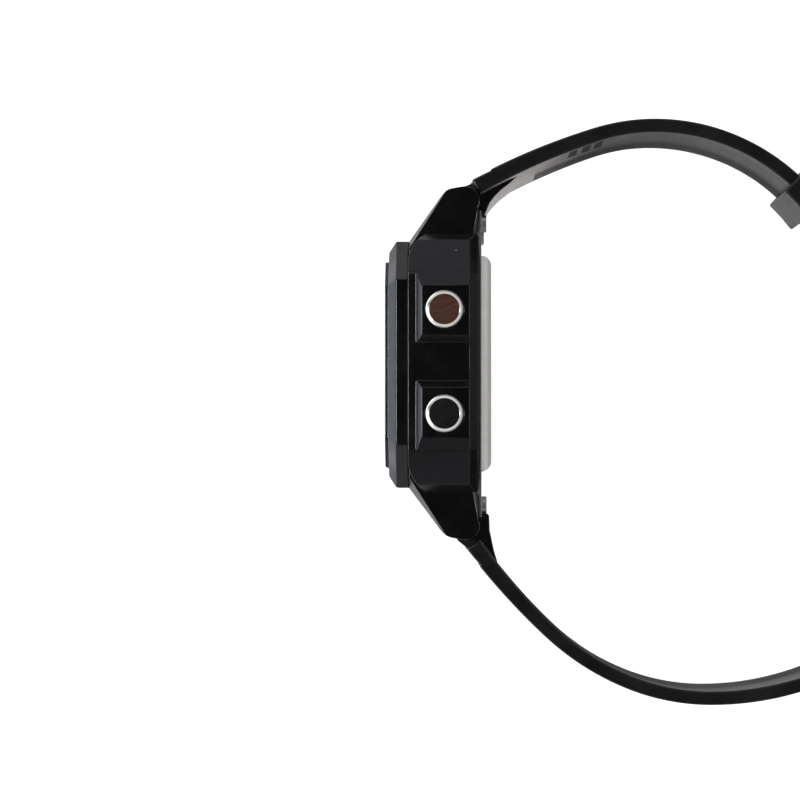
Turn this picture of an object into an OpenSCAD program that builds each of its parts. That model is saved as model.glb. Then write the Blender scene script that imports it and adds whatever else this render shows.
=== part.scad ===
// Digital sports watch with a resin case and an open resin strap.
// It is drawn dial up, X to 3 o'clock, Y to 12 o'clock and Z out of the dial, with Z = 0 on the flat
// face of the case back. lay_on_side() then turns each piece so that 3 o'clock points up.

/* [Case] */
// Width over the button guards
case_w = 42; // [41:0.5:45]
// How far the button guards stand out from the case side
guard_h = 0.9; // [0.5:0.1:1.3]
// Where a button guard starts, from the middle of the case side
guard_in_y = 3.3; // [2.9:0.1:3.6]
// Where a button guard ends and the corner slope starts
guard_out_y = 9.4; // [9.1:0.1:10.2]
// Half length of the case side block
block_hy = 16.2; // [16:0.1:16.8]
// Thickness of the case from the back plate to the bezel seat
case_depth = 8.78; // [8.5:0.1:9.6]
// Slope of the guarded corners in plan, in degrees
corner_slope = 27.5; // [22:0.5:31]
// Distance between the lugs
lug_gap = 18; // [17:0.5:19]
// Thickness of one lug
lug_w = 6.75; // [6:0.25:7]
// Distance of each spring bar from the middle of the case
lug_y = 20.4; // [20.2:0.1:21.4]
// Radius of the lug tips round the spring bar
lug_r = 1.9; // [1.7:0.05:2]
// Slope of the front of the lugs, in degrees
lug_slope = 37; // [35:0.5:39]

/* [Case back] */
// Thickness of the steel plate
plate_t = 0.45; // [0.35:0.05:0.6]
// Height of the pressed dome over the plate
dome_h = 1.27; // [1.1:0.05:1.4]
// Half width of the dome
dome_hx = 14.2; // [13.6:0.1:14.6]
// Half length of the dome
dome_hy = 13.6; // [13:0.1:14]
// Sideways distance of the screws from the middle
screw_x = 11; // [10.6:0.1:11.4]
// Lengthways distance of the screws from the middle
screw_y = 17.9; // [17.6:0.1:18.2]
// Diameter of the screw heads
screw_head_d = 2.2; // [1.9:0.1:2.4]
// Diameter of the screw threads
screw_d = 1.2; // [1:0.1:1.3]

/* [Bezel and crystal] */
// Half width of the bezel
bezel_hx = 18.4; // [18:0.1:18.8]
// Half length of the bezel
bezel_hy = 15.7; // [15.4:0.1:16]
// Height of the bezel over its seat
bezel_h = 2.48; // [2.3:0.05:2.7]
// Height of the frame that stands round the crystal
frame_h = 0.48; // [0.3:0.05:0.7]
// Width of the bezel chamfer in plan
chamfer_w = 1.45; // [1:0.05:1.6]
// Depth of the bezel chamfer
chamfer_h = 0.95; // [0.6:0.05:1.1]
// Half width of the crystal
crystal_hx = 13.1; // [12.8:0.1:13.4]
// Half length of the crystal
crystal_hy = 11.5; // [11.2:0.1:11.8]
// Thickness of the crystal
crystal_t = 2.3; // [2.1:0.1:2.5]

/* [Buttons] */
// Distance of the button axes from the middle of the case side
pusher_y = 6.5; // [6.2:0.1:6.7]
// Distance of the button axes behind the bezel seat
pusher_down = 4.55; // [4.4:0.05:4.7]
// Diameter of a button head
pusher_d = 4.72; // [4.4:0.02:4.9]
// Width of the bevel round a button face
pusher_bevel = 0.45; // [0.3:0.05:0.7]
// Height of that bevel
pusher_bevel_h = 0.35; // [0.2:0.05:0.6]
// How far a button face on the 3 o'clock side stands out of its guard
face_out = 0.35; // [0:0.05:0.5]
// How far a button face on the 9 o'clock side lies below its guard, which the watch lies on
face_below = 0.1; // [0.1:0.05:0.3]
// Travel of a button
pusher_travel = 0.6; // [0.4:0.05:0.7]
// Diameter of a button stem
stem_d = 2.4; // [2.2:0.1:2.5]

/* [Module] */
// Half width of the hollow that holds the module
cavity_hx = 15.2; // [14.6:0.1:15.6]
// Half length of the hollow that holds the module
cavity_hy = 14.9; // [14.6:0.1:15]
// Diameter of the battery
battery_d = 20; // [18:0.5:20]
// Thickness of the battery
battery_t = 2.5; // [1.6:0.1:2.5]
// Thickness of the circuit board
board_t = 0.6; // [0.4:0.05:0.65]
// Wall of the module frame beside the display glass
lcd_wall = 0.9; // [0.7:0.1:1.3]
// Half length of the display glass
lcd_hy = 8.95; // [8.9:0.05:9.2]
// Thickness of the display glass
lcd_t = 1.2; // [1:0.05:1.25]

/* [Straps] */
// Width of the straps at the lugs
strap_lug_w = 26; // [24:0.5:27]
// Width of the straps at the keepers and the holes
strap_w = 18.6; // [17.6:0.2:19]
// Thickness of the straps at the lugs
strap_lug_t = 2.15; // [1.9:0.05:2.3]
// Thickness of the straps further on
strap_t = 1.75; // [1.6:0.05:1.9]
// Distance along the strap from the lugs to the buckle bar
buckle_bar_s = 70; // [66:0.5:70.5]
// Length of the long strap along its outer face
long_strap_l = 116; // [108:1:116]
// Spacing of the strap holes
hole_pitch = 6; // [5:0.5:6]
// Number of strap holes
hole_count = 8; // [5:1:8]
// Diameter of the strap holes
hole_d = 2.3; // [2:0.1:2.6]
// Length of a keeper along the strap
keeper_l = 5; // [4:0.5:5]
// Wall of the keepers
keeper_wall = 1.1; // [0.9:0.1:1.3]

/* [Buckle] */
// Length of the buckle frame beyond its bar
buckle_l = 11; // [10:0.5:12]
// Width of the buckle side arms
buckle_arm_w = 1.8; // [1.5:0.1:2.2]
// Thickness of the buckle frame
buckle_t = 2.1; // [1.9:0.1:2.4]
// Width of the buckle tongue
tang_w = 2; // [1.6:0.1:2.1]

/* [Spring bars] */
// Diameter of the spring bar tubes
bar_d = 1.5; // [1.4:0.1:1.6]
// Diameter of the spring bar pins
pin_d = 0.8; // [0.7:0.05:0.85]

/* [Hidden] */
$fn = 48;

// clearances
run_gap = 0.05;
seat_gap = 0.1;
fit_gap = 0.03;
pocket_gap = 0.2;
through = 1;
weld = 0.1;

// levels of the case, counted out of the dial from the flat face of the case back
ridge_up = 4.03;
side_back_up = 1.08;
guard_front_down = 1.7;
guard_foot_down = 1.02;
lug_up = 1.63;
seat_z = dome_h + plate_t;
bezel_seat_z = seat_z + case_depth;
ridge_z = seat_z + ridge_up;
side_back_z = seat_z + side_back_up;
guard_front_z = bezel_seat_z - guard_front_down;
guard_foot_z = bezel_seat_z - guard_foot_down;
bezel_top_z = bezel_seat_z + bezel_h;
frame_top_z = bezel_top_z + frame_h;
pusher_z = bezel_seat_z - pusher_down;
lug_z = seat_z + lug_up;

// plan of the case
guard_x = case_w / 2;
side_x = guard_x - guard_h;
draft = 0.06;
back_chamfer = 1.15;
side_end_y = guard_out_y + guard_h / tan(corner_slope);
end_bevel_l = 0.85;
end_bevel_w = 1.4;
corner_end_y = block_hy - end_bevel_l;
corner_end_x = guard_x - (corner_end_y - guard_out_y) * tan(corner_slope);
corner_d = guard_x * cos(corner_slope) + guard_out_y * sin(corner_slope);
block_end_x = corner_end_x - end_bevel_w;
block_round = 4.6;
block_round_l = 3.9;
lug_x = lug_gap / 2;
lug_out_x = lug_x + lug_w;
lug_root_l = 4.2;
lug_crown_l = 0.52;
lug_root_down = 0.2;
lug_root_y = block_hy - lug_root_l;
lug_crown_y = block_hy - lug_crown_l;
facet_tilt = 6.5;
facet_fade = 4.5;
back_bevel_slope = 11.6;
back_bevel_turn = 25;
crease_down = 0.9;
crease_turn = 10;
crease_tilt = 4;
plate_end_gap = 0.3;
end_wall_t = 1;
end_wall_down = 0.3;
end_wall_y = block_hy + end_wall_t;

// hollow of the case
front_wall = 0.6;
cavity_top_z = bezel_seat_z - front_wall;
groove_in = 0.3;
groove_w = 0.5;
groove_h = 0.6;
gasket_h = 0.55;

// crystal seat and collar, as growths of the crystal outline
corner_tilt = 56.1;
crystal_corner = 14.6;
window_gap = 0.1;
collar_gap = 0.6;
collar_wall = 1.6;
bezel_fit = 0.1;
frame_wall = 1.6;
ledge_w = 0.8;
ledge_up = 0.15;
gasket_t = 0.3;
collar_h = 1.7;
ledge_z = bezel_seat_z + ledge_up;
crystal_z = ledge_z + gasket_t;
collar_top_z = ledge_z + collar_h;
bezel_corner = 18.89;
peg_d = 1.2;
peg_l = 1.5;
peg_edge = 1.5;
peg_x = bezel_hx - peg_edge;
peg_y = 9.5;

// case back
plate_hx = 17.2;
plate_side_y = 13.5;
plate_seal_gap = 0.05;
plate_corner_x = cavity_hx + groove_in + groove_w + plate_seal_gap;
plate_corner_y = cavity_hy + groove_in + groove_w + plate_seal_gap;
plate_end_x = 12.6;
plate_hy = 19.5;
dome_round = 1.2;
dome_corner_cut = 1.2;
dome_corner = (dome_hx + dome_hy) / sqrt(2) - dome_corner_cut;
screw_head_h = 0.7;
screw_l = 2.5;
slot_l = 1.65;
slot_w = 0.32;
slot_h = 0.35;

// buttons, as distances out from the middle plane of the case
pusher_r = pusher_d / 2;
stem_r = stem_d / 2;
head_in = 2;
head_x = guard_x - head_in;
spring_room = 1;
well_x = head_x - pusher_travel - spring_room;
clip_gap = 0.05;
clip_t = 0.3;
clip_r = 1.9;
clip_slot = 1.3;
groove_in_stem = 0.35;
groove_r = stem_r - groove_in_stem;
clip_x = cavity_hx - clip_gap - clip_t;
stem_past_clip = 0.45;
stem_end_x = clip_x - stem_past_clip;
o_ring_in = 0.9;
o_ring_w = 0.5;
o_ring_x = cavity_hx + o_ring_in;
o_ring_wire = 0.185;
o_ring_r = groove_r + o_ring_wire + 0.005;
spring_wire = 0.13;
spring_out = 0.55;
spring_r = stem_r + spring_out;
spring_turns = 3.5;

// module: its width leaves room for the pressed buttons and the switch contacts
switch_t = 0.15;
switch_w = 2.6;
switch_down = 2;
switch_h = 3.6;
switch_z = pusher_z - switch_down;
module_hx = stem_end_x - pusher_travel - run_gap - switch_t;
module_end_gap = 0.2;
module_hy = cavity_hy - module_end_gap;

// module levels
mask_gap = 0.05;
mask_t = 0.5;
mask_z = cavity_top_z - mask_gap - mask_t;
lcd_z = mask_z - seat_gap / 2 - lcd_t;
guide_t = 0.9;
guide_z = lcd_z - seat_gap / 2 - guide_t;
board_up = 3.08;
board_z = seat_z + board_up;
board_top_z = board_z + board_t;
contact_t = 0.1;
contact_r = 3;
battery_z = board_z - contact_t - battery_t;
holder_up = 0.68;
holder_z = seat_z + holder_up;
holder_top_z = board_z - run_gap;
frame_module_top_z = mask_z - mask_gap;

// module plans, each from the piece that it fits in
battery_pos = [-1.2, -1.8];
board_side = 1;
board_end = 2.3;
board_hx = module_hx - board_side;
board_hy = module_hy - board_end;
holder_side = 0.2;
holder_end = 0.1;
holder_hx = module_hx - holder_side;
holder_hy = module_hy - holder_end;
lcd_hx = module_hx - lcd_wall;
guide_side = 1.3;
guide_end = 2.05;
guide_hx = lcd_hx - guide_side;
guide_hy = lcd_hy - guide_end;
mask_side = 1;
mask_end = 1.5;
mask_hx = cavity_hx - mask_side;
mask_hy = cavity_hy - mask_end;
display_side = 1.5;
display_end = 2.25;
display_hx = lcd_hx - display_side;
display_hy = lcd_hy - display_end;
strip_side = 1.7;
strip_in = 0.95;
strip_hx = lcd_hx - strip_side;
strip_w = 1.3;
strip_y = lcd_hy - strip_in;
chip_w = 8;
chip_air = 0.55;
chip_t = guide_z - board_top_z - chip_air;
chip_room = 1;
led_size = [0.9, 1.8, guide_z - board_top_z + guide_t / 2];
part_edge = 1.5;
can_d = 1.5;
can_l = 5.5;
can_pos = [-6, board_hy - part_edge];
capacitor_size = [1.6, 0.8, 0.8];
capacitor_xs = [-6, -1, 4];
capacitor_y = part_edge - board_hy;
module_screw_edge = [2.1, 1.2];
module_screw_pos = [module_hx, module_hy] - module_screw_edge;
module_screw_d = 0.9;
module_screw_l = 5;
module_screw_head_d = 1.7;
module_screw_head_h = 0.4;
tab_w = 2.6;
tab_in = 2.4;
tab_y = module_hy - tab_in;
clip_strip_t = 0.2;
clip_strip_w = 5;
clip_leg_h = 2.2;
piezo_r = 9.5;
piezo_t = 0.3;
piezo_pos = [3, 2];
buzzer_pos = [9.2, 7.6];
buzzer_r = 0.8;
buzzer_wire = 0.12;
buzzer_room = 0.3;
buzzer_turns = 6;

// straps: a start point beside the lug tip, the heading there in degrees off the wrist direction,
// and arcs that turn the outer face back towards the wrist
short_offset = [2.991, -0.815];
short_start = [lug_y, lug_z] + short_offset;
short_heading = 30;
short_radii = [60, 85, 26.7, 24];
short_sweeps = [3, 9.5, 87, 34];
short_arcs = [for (i = [0:3]) [short_radii[i], short_sweeps[i]]];
long_offset = [3.1, -0.15];
long_start = [lug_y, lug_z] + long_offset;
long_heading = 52.7;
long_radii = [90, 34, 29, 39];
long_sweeps = [9.5, 21, 22.2, 116];
long_arcs = [for (i = [0:3]) [long_radii[i], long_sweeps[i]]];
heel_offset = [1.04, -1.68];
heel = [lug_y, lug_z] + heel_offset;
strap_reach = 200;
ds = 2;
thin_s = 22;
step_s = 2.8;
step_h = 0.2;
taper_s = [0, 3, 14, 26, 34, 41];
taper_share = [0, 0.06, 0.42, 0.74, 0.9, 1];
tongue_r = 1.55;
tongue_gap = 0.15;
tongue_hx = lug_gap / 2 - tongue_gap;
tongue_plate_gap = 0.12;
tongue_face = 50;
short_crown = [2.5, 0.05];
long_crown = [2.05, 0.9];
lip_l = 0.55;
short_lip_t = 0.45;
long_lip_t = 0.95;
lip_bevel = 0.3;
lip_y = plate_hy - lip_l;
lip_z = dome_h - tongue_plate_gap;
short_web = [[-1.07, -2.67], [0.4, -3.25], [1.2, -3.87], [2.02, -4.68], [2.77, -5.65]];
long_web = [[0.8, -3.23], [3.3, -3.77]];
short_root_s = 6.5;
long_root_s = 4.5;
root_in = 0.2;
face_s = 3;
face_in = 0.6;
tip_s = 0.2;
tail_round_l = 7;
first_hole_s = 62;
buckle_end_r = 1.45;
strap_end_hx = 7.6;
strap_neck_l = 4.2;
tang_slot_l = 6.8;
cut_reach = 10;

// keepers ride on the third arc of the short strap
keeper_arc_s = arc_length(short_arcs[0]) + arc_length(short_arcs[1]);
keeper_r = short_radii[2];
keeper_play = 0.12;
keeper_side_gap = 0.2;
keeper_spare = 0.35;
keeper_room = strap_t + keeper_spare;
fixed_keeper_s = 55;
free_keeper_s = 48;
keeper_notch = 0.5;

// buckle, seen along the strap from its bar
ear_r = 1.75;
ear_gap = 0.2;
buckle_gap = 0.35;
buckle_round = 0.5;
ear_hx = strap_end_hx + ear_gap;
buckle_in_hx = strap_w / 2 + buckle_gap;
buckle_out_hx = buckle_in_hx + buckle_arm_w;
cross_bar_w = 2.8;
window_s = 2.2;
tang_r = 1.35;
tang_t = 1.1;
tang_thin = 0.2;
tang_neck_l = 2;
tang_tip_l = 1;
tang_tip_t = 0.5;
tang_l = buckle_l - 0.4;
tang_rest = buckle_t / 2 + seat_gap;

// spring bars
bar_r = bar_d / 2;
pin_r = pin_d / 2;
bar_wall = 0.2;
bar_end_gap = 0.25;
pin_reach = 1.4;
collar_l = 0.6;
collar_r = bar_r - bar_wall - fit_gap;
pin_in_l = 2;
bar_spring_in = 0.12;
lug_bar_half = lug_x - bar_end_gap;
buckle_bar_half = ear_hx - bar_end_gap;
bar_spring_wire = 0.07;
bar_spring_turns = 11;

resin = [0.09, 0.09, 0.10];
soft_resin = [0.11, 0.11, 0.12];
steel = [0.74, 0.74, 0.75];
dark_steel = [0.32, 0.27, 0.24];
black_plastic = [0.07, 0.07, 0.08];

SIDES = [for (side = [1, -1]) for (end = [1, -1]) [side, end]];

function button_name(part, at) = str(part, at[1] > 0 ? "_upper" : "_lower", at[0] > 0 ? "_right" : "_left");
function button_names(part) = [for (at = SIDES) button_name(part, at)];

// Turns the watch from dial up to lying on its 9 o'clock side.
module lay_on_side() rotate([90, -90, 0]) children();

// Extrudes an outline of (y, z) points across the width.
module side_view(w) rotate([90, 0, 90]) linear_extrude(w, center = true) children();

// Extrudes an outline of (x, z) points along the length.
module front_view(l) rotate([90, 0, 0]) linear_extrude(l, center = true) children();

module both_sides() for (s = [0, 1]) mirror([s, 0, 0]) children();
module both_ends() for (s = [0, 1]) mirror([0, s, 0]) children();
module four_corners() both_sides() both_ends() children();

function backwards(points) = [for (i = [len(points) - 1:-1:0]) points[i]];
function mirrored(points) = concat(points, [for (p = backwards(points)) [-p[0], p[1]]]);
function four_way(points) = let (half = mirrored(points))
    concat(half, [for (p = backwards(half)) [p[0], -p[1]]]);
function arc_points(c, r, a0, a1, n) =
    [for (i = [0:n]) let (a = a0 + (a1 - a0) * i / n) [c[0] + r * cos(a), c[1] + r * sin(a)]];

// Plan with four cut corners, whose corner faces lie at the distance d from the middle.
function corner_y(hx, d) = (d - hx * cos(corner_tilt)) / sin(corner_tilt);
function corner_x(hy, d) = (d - hy * sin(corner_tilt)) / cos(corner_tilt);
module cut_corner_plan(hx, hy, d) polygon(four_way([[hx, corner_y(hx, d)], [corner_x(hy, d), hy]]));
module crystal_plan(grow) cut_corner_plan(crystal_hx + grow, crystal_hy + grow, crystal_corner + grow);
module crystal_prism(grow, z0, z1) translate([0, 0, z0]) linear_extrude(z1 - z0) crystal_plan(grow);

// Wire wound round the Z axis from z0 to z1, as one tube of six sides.
module coil(r, wire, turns, z0, z1, rings = 8, sides = 6) {
    n = ceil(turns * rings);
    points = [for (i = [0:n]) let (a = 360 * turns * i / n, z = z0 + wire + (z1 - z0 - 2 * wire) * i / n)
        for (k = [0:sides - 1]) let (b = 360 * k / sides)
            [(r + wire * cos(b)) * cos(a), (r + wire * cos(b)) * sin(a), z + wire * sin(b)]];
    walls = [for (i = [0:n - 1]) for (k = [0:sides - 1])
        let (k1 = (k + 1) % sides, p = i * sides, q = p + sides)
            each [[p + k, p + k1, q + k1], [p + k, q + k1, q + k]]];
    caps = [for (k = [1:sides - 2]) each
        [[0, k + 1, k], [n * sides, n * sides + k, n * sides + k + 1]]];
    polyhedron(points = points, faces = concat(walls, caps));
}

// Places a button part: its own Z runs out from the middle of the case.
module at_button(at) translate([0, at[1] * pusher_y, pusher_z]) rotate([0, at[0] * 90, 0]) children();

// Case shell

module block_plan() polygon(four_way([[side_x, side_end_y], [corner_end_x, corner_end_y],
    [block_end_x, block_hy]]));

module guard_plan() both_ends() polygon([[side_x - 1, guard_in_y - guard_h - 1],
    [corner_end_x - 1, corner_end_y], [side_x, side_end_y], [guard_x, guard_out_y], [guard_x, guard_in_y],
    [side_x, guard_in_y - guard_h]]);

// A bar as thick as the distance of two opposite corner faces, with its back edges bevelled.
module corner_bar(turn) rotate([0, 0, turn]) front_view(3 * case_w) polygon(mirrored([
    [corner_d - back_chamfer, seat_z], [corner_d, side_back_z], [corner_d, bezel_seat_z]]));

module block() intersection() {
    translate([0, 0, seat_z]) linear_extrude(case_depth) block_plan();
    corner_bar(corner_slope);
    corner_bar(-corner_slope);
    front_view(2 * block_hy) polygon(mirrored([[side_x - draft - back_chamfer, seat_z],
        [side_x - draft, side_back_z], [side_x, ridge_z], [side_x - draft, bezel_seat_z]]));
    side_view(case_w) polygon(mirrored(concat([[block_hy, seat_z]], arc_points(
        [block_hy - block_round_l, bezel_seat_z - block_round], block_round,
        acos(block_round_l / block_round), 90, 6))));
}

module guards() both_sides() intersection() {
    translate([0, 0, side_back_z]) linear_extrude(case_depth) guard_plan();
    front_view(2 * block_hy) polygon([[side_x - 1, side_back_z], [guard_x - draft, side_back_z],
        [guard_x, ridge_z], [guard_x - draft / 2, guard_front_z], [side_x - draft, guard_foot_z],
        [side_x - 1, guard_foot_z]]);
}

// Outline of a lug: front slope, a round shoulder, tip round the spring bar, and flat back.
lug_slope_d = lug_crown_y * sin(lug_slope) + bezel_seat_z * cos(lug_slope);
tip_tilt = 10;
tip_round = 2.4;
tip_foot = [lug_y + lug_r * cos(tip_tilt), lug_z + lug_r * sin(tip_tilt)];
tip_rise = (lug_slope_d - tip_foot[0] * sin(lug_slope) - tip_foot[1] * cos(lug_slope))
    / cos(lug_slope + tip_tilt);
tip_corner = tip_foot + tip_rise * [-sin(tip_tilt), cos(tip_tilt)];
tip_round_l = tip_round * tan((90 - lug_slope - tip_tilt) / 2);
tip_centre = tip_corner + tip_round_l * [sin(tip_tilt), -cos(tip_tilt)]
    - tip_round * [cos(tip_tilt), sin(tip_tilt)];
lug_points = concat([[lug_root_y, seat_z], [plate_hy + plate_end_gap, seat_z]],
    arc_points([lug_y, lug_z], lug_r, -95, tip_tilt, 9),
    arc_points(tip_centre, tip_round, tip_tilt, 90 - lug_slope, 5),
    [[lug_crown_y, bezel_seat_z], [lug_root_y, bezel_seat_z - lug_root_down]]);

// The lug's front is a facet that falls away to the outside and fades at the tip, its side turns inwards
// behind a crease, and its back edge carries on the bevel of the case.
module lug() difference() {
    translate([(lug_x + lug_out_x) / 2, 0, 0]) side_view(lug_w) polygon(lug_points);
    translate([lug_x, lug_crown_y, bezel_seat_z]) rotate([-lug_slope, 0, 0])
        rotate([facet_fade, facet_tilt, 0]) translate([-lug_w, -lug_w, 0])
            cube([3 * lug_w, 4 * lug_w, lug_w]);
    translate([lug_out_x, lug_y, lug_z + crease_down]) rotate([-crease_turn, 0, 0])
        rotate([0, crease_tilt, 0]) translate([0, -2 * lug_w, -2 * lug_w])
            cube([lug_w, 4 * lug_w, 2 * lug_w]);
    translate([lug_out_x, block_hy, side_back_z]) rotate([-back_bevel_slope, 0, 0])
        rotate([0, back_bevel_turn, 0]) translate([0, -lug_w, -lug_w])
            cube([lug_w, 2 * lug_w, 2 * lug_w]);
}

module end_wall() side_view(lug_gap + 2 * weld) polygon(mirrored([[end_wall_y, seat_z],
    [end_wall_y, (lug_slope_d - end_wall_y * sin(lug_slope)) / cos(lug_slope) - end_wall_down],
    [lug_crown_y, bezel_seat_z], [lug_root_y, bezel_seat_z]]));

module case_hollow() {
    translate([-cavity_hx, -cavity_hy, seat_z - through])
        cube([2 * cavity_hx, 2 * cavity_hy, cavity_top_z - seat_z + through]);
    crystal_prism(-ledge_w, cavity_top_z - through, ledge_z + through);
    crystal_prism(collar_gap, ledge_z, collar_top_z + through);
}

module seal_ring(z0, z1, width) translate([0, 0, z0]) linear_extrude(z1 - z0) difference() {
    square([2 * (cavity_hx + groove_in + width), 2 * (cavity_hy + groove_in + width)], center = true);
    square([2 * (cavity_hx + groove_in), 2 * (cavity_hy + groove_in)], center = true);
}

module button_bore(at) at_button(at) {
    translate([0, 0, cavity_hx - through])
        cylinder(r = stem_r + run_gap, h = well_x - cavity_hx + 2 * through);
    translate([0, 0, well_x]) cylinder(r = pusher_r + run_gap, h = guard_x);
}

module lug_bar_bores() four_corners() translate([lug_x - through, lug_y, lug_z]) rotate([0, 90, 0])
    cylinder(r = pin_r + fit_gap, h = pin_reach + seat_gap + through);

module case_shell() color(resin) lay_on_side() difference() {
    union() {
        block();
        guards();
        four_corners() lug();
        end_wall();
        crystal_prism(collar_gap + collar_wall, bezel_seat_z - through, collar_top_z);
    }
    case_hollow();
    seal_ring(seat_z - through, seat_z + groove_h, groove_w);
    for (at = SIDES) button_bore(at);
    lug_bar_bores();
    four_corners() translate([screw_x, screw_y, seat_z - through])
        cylinder(d = screw_d + 2 * fit_gap, h = screw_l + seat_gap + through);
    four_corners() translate([peg_x, peg_y, bezel_seat_z - peg_l - seat_gap])
        cylinder(d = peg_d + 2 * fit_gap, h = peg_l + through);
}

// Bezel, crystal and its gasket

module chamfered_bar(half, turn) rotate([0, 0, turn]) front_view(3 * case_w)
    polygon(mirrored([[half, bezel_seat_z], [half, bezel_top_z - chamfer_h],
        [half - chamfer_w, bezel_top_z]]));

module bezel() color(resin) lay_on_side() {
    difference() {
        union() {
            intersection() {
                chamfered_bar(bezel_hx, 0);
                chamfered_bar(bezel_hy, 90);
                chamfered_bar(bezel_corner, corner_tilt);
                chamfered_bar(bezel_corner, -corner_tilt);
            }
            crystal_prism(frame_wall, bezel_top_z - chamfer_h, frame_top_z);
        }
        crystal_prism(window_gap, bezel_seat_z, frame_top_z + through);
        crystal_prism(collar_gap + collar_wall + bezel_fit, bezel_seat_z - through, collar_top_z + seat_gap);
    }
    four_corners() translate([peg_x, peg_y, bezel_seat_z - peg_l]) cylinder(d = peg_d, h = peg_l + weld);
}

module crystal() color([0.75, 0.82, 0.85, 0.4]) lay_on_side()
    crystal_prism(0, crystal_z, crystal_z + crystal_t);

module crystal_gasket() color(black_plastic) lay_on_side() difference() {
    crystal_prism(collar_gap, ledge_z, collar_top_z);
    crystal_prism(0, crystal_z, collar_top_z + through);
    crystal_prism(-ledge_w, ledge_z - through, crystal_z + through);
}

// Case back

module plate_plan() polygon(four_way([[plate_hx, plate_side_y], [plate_corner_x, plate_corner_y],
    [plate_end_x, plate_hy]]));

// Half outline of the dome, whose edge is round; inset moves it inwards for the hollow side.
function dome_half(h, inset) = concat([[h - inset, seat_z + through], [h - inset, dome_round]],
    arc_points([h - dome_round, dome_round], dome_round - inset, 0, -90, 6));

module dome(inset) intersection() {
    front_view(4 * dome_hy) polygon(mirrored(dome_half(dome_hx, inset)));
    side_view(4 * dome_hx) polygon(mirrored(dome_half(dome_hy, inset)));
    for (turn = [45, -45]) rotate([0, 0, turn]) front_view(4 * dome_hx)
        polygon(mirrored(dome_half(dome_corner, inset)));
}

module case_back() color(steel) lay_on_side() difference() {
    union() {
        translate([0, 0, dome_h]) linear_extrude(plate_t) plate_plan();
        intersection() {
            dome(0);
            translate([0, 0, (dome_h + plate_t / 2) / 2])
                cube([case_w, case_w, dome_h + plate_t / 2], center = true);
        }
    }
    dome(plate_t);
    four_corners() translate([screw_x, screw_y, 0]) cylinder(d = screw_d + 2 * seat_gap, h = 2 * seat_z);
}

module case_back_gasket() color(black_plastic) lay_on_side()
    seal_ring(seat_z, seat_z + gasket_h, groove_w - 2 * fit_gap);

module case_back_screws() color(steel) lay_on_side() four_corners() translate([screw_x, screw_y, 0]) {
    difference() {
        translate([0, 0, dome_h - screw_head_h]) cylinder(d = screw_head_d, h = screw_head_h);
        for (turn = [0, 90]) translate([0, 0, dome_h - screw_head_h]) rotate([0, 0, turn])
            cube([slot_l, slot_w, 2 * slot_h], center = true);
    }
    translate([0, 0, dome_h - weld]) cylinder(d = screw_d, h = plate_t + screw_l + weld);
}

// Display and module

module slab(hx, hy, z0, z1) translate([-hx, -hy, z0]) cube([2 * hx, 2 * hy, z1 - z0]);

module block_at(pos, size, z0, grow = 0)
    translate([pos[0] - size[0] / 2 - grow, pos[1] - size[1] / 2 - grow, z0])
        cube([size[0] + 2 * grow, size[1] + 2 * grow, size[2] + grow]);

module display_mask() color([0.16, 0.17, 0.18]) lay_on_side() difference() {
    slab(mask_hx, mask_hy, mask_z, mask_z + mask_t);
    slab(display_hx, display_hy, mask_z - through, mask_z + mask_t + through);
}

module lcd_panel() color([0.55, 0.58, 0.50]) lay_on_side() slab(lcd_hx, lcd_hy, lcd_z, lcd_z + lcd_t);

module light_guide() color([0.85, 0.88, 0.85]) lay_on_side()
    slab(guide_hx, guide_hy, guide_z, guide_z + guide_t);

led_pos = [guide_hx + seat_gap + led_size[0] / 2, 0];
module backlight_led() color([0.95, 0.85, 0.4]) lay_on_side() block_at(led_pos, led_size, board_top_z);

module contact_strips() color([0.7, 0.3, 0.3]) lay_on_side() both_ends()
    block_at([0, strip_y], [2 * strip_hx, strip_w, lcd_z - board_top_z], board_top_z);

module module_screw_holes() four_corners() translate([module_screw_pos[0], module_screw_pos[1], 0])
    cylinder(d = module_screw_d + 2 * fit_gap, h = holder_z + module_screw_l + seat_gap);

module module_frame() color([0.88, 0.88, 0.85]) lay_on_side() difference() {
    union() {
        slab(module_hx, module_hy, board_top_z, frame_module_top_z);
        four_corners() block_at([module_hx, tab_y], [2 * (cavity_hx - seat_gap - module_hx), tab_w,
            frame_module_top_z - board_top_z], board_top_z);
    }
    slab(lcd_hx + run_gap, lcd_hy + run_gap, lcd_z - run_gap, frame_module_top_z + through);
    slab(guide_hx + run_gap, guide_hy + run_gap, guide_z, frame_module_top_z);
    both_ends() block_at([0, strip_y], [2 * strip_hx, strip_w, lcd_z - board_top_z + through],
        board_top_z - through, run_gap);
    slab(chip_w / 2 + 4 * chip_room, chip_w / 2 + chip_room, board_top_z - through, guide_z + through);
    block_at(led_pos, [led_size[0], led_size[1], led_size[2] + 2 * through], board_top_z - through, seat_gap);
    block_at(can_pos, [can_l, can_d, can_d + through], board_top_z - through, pocket_gap);
    block_at([(capacitor_xs[0] + capacitor_xs[2]) / 2, capacitor_y],
        [capacitor_xs[2] - capacitor_xs[0] + 2 * capacitor_size[0], 2 * capacitor_size[1],
         capacitor_size[2] + through], board_top_z - through, pocket_gap);
    module_screw_holes();
}

module circuit_board() color([0.12, 0.35, 0.18]) lay_on_side() slab(board_hx, board_hy, board_z, board_top_z);

module processor_chip() color(black_plastic) lay_on_side()
    block_at([0, 0], [chip_w, chip_w, chip_t], board_top_z);

module quartz_can() color(steel) lay_on_side() translate([can_pos[0], can_pos[1], board_top_z + can_d / 2])
    rotate([0, 90, 0]) cylinder(d = can_d, h = can_l, center = true);

module capacitors() color([0.6, 0.45, 0.3]) lay_on_side()
    for (x = capacitor_xs) block_at([x, capacitor_y], capacitor_size, board_top_z);

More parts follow.
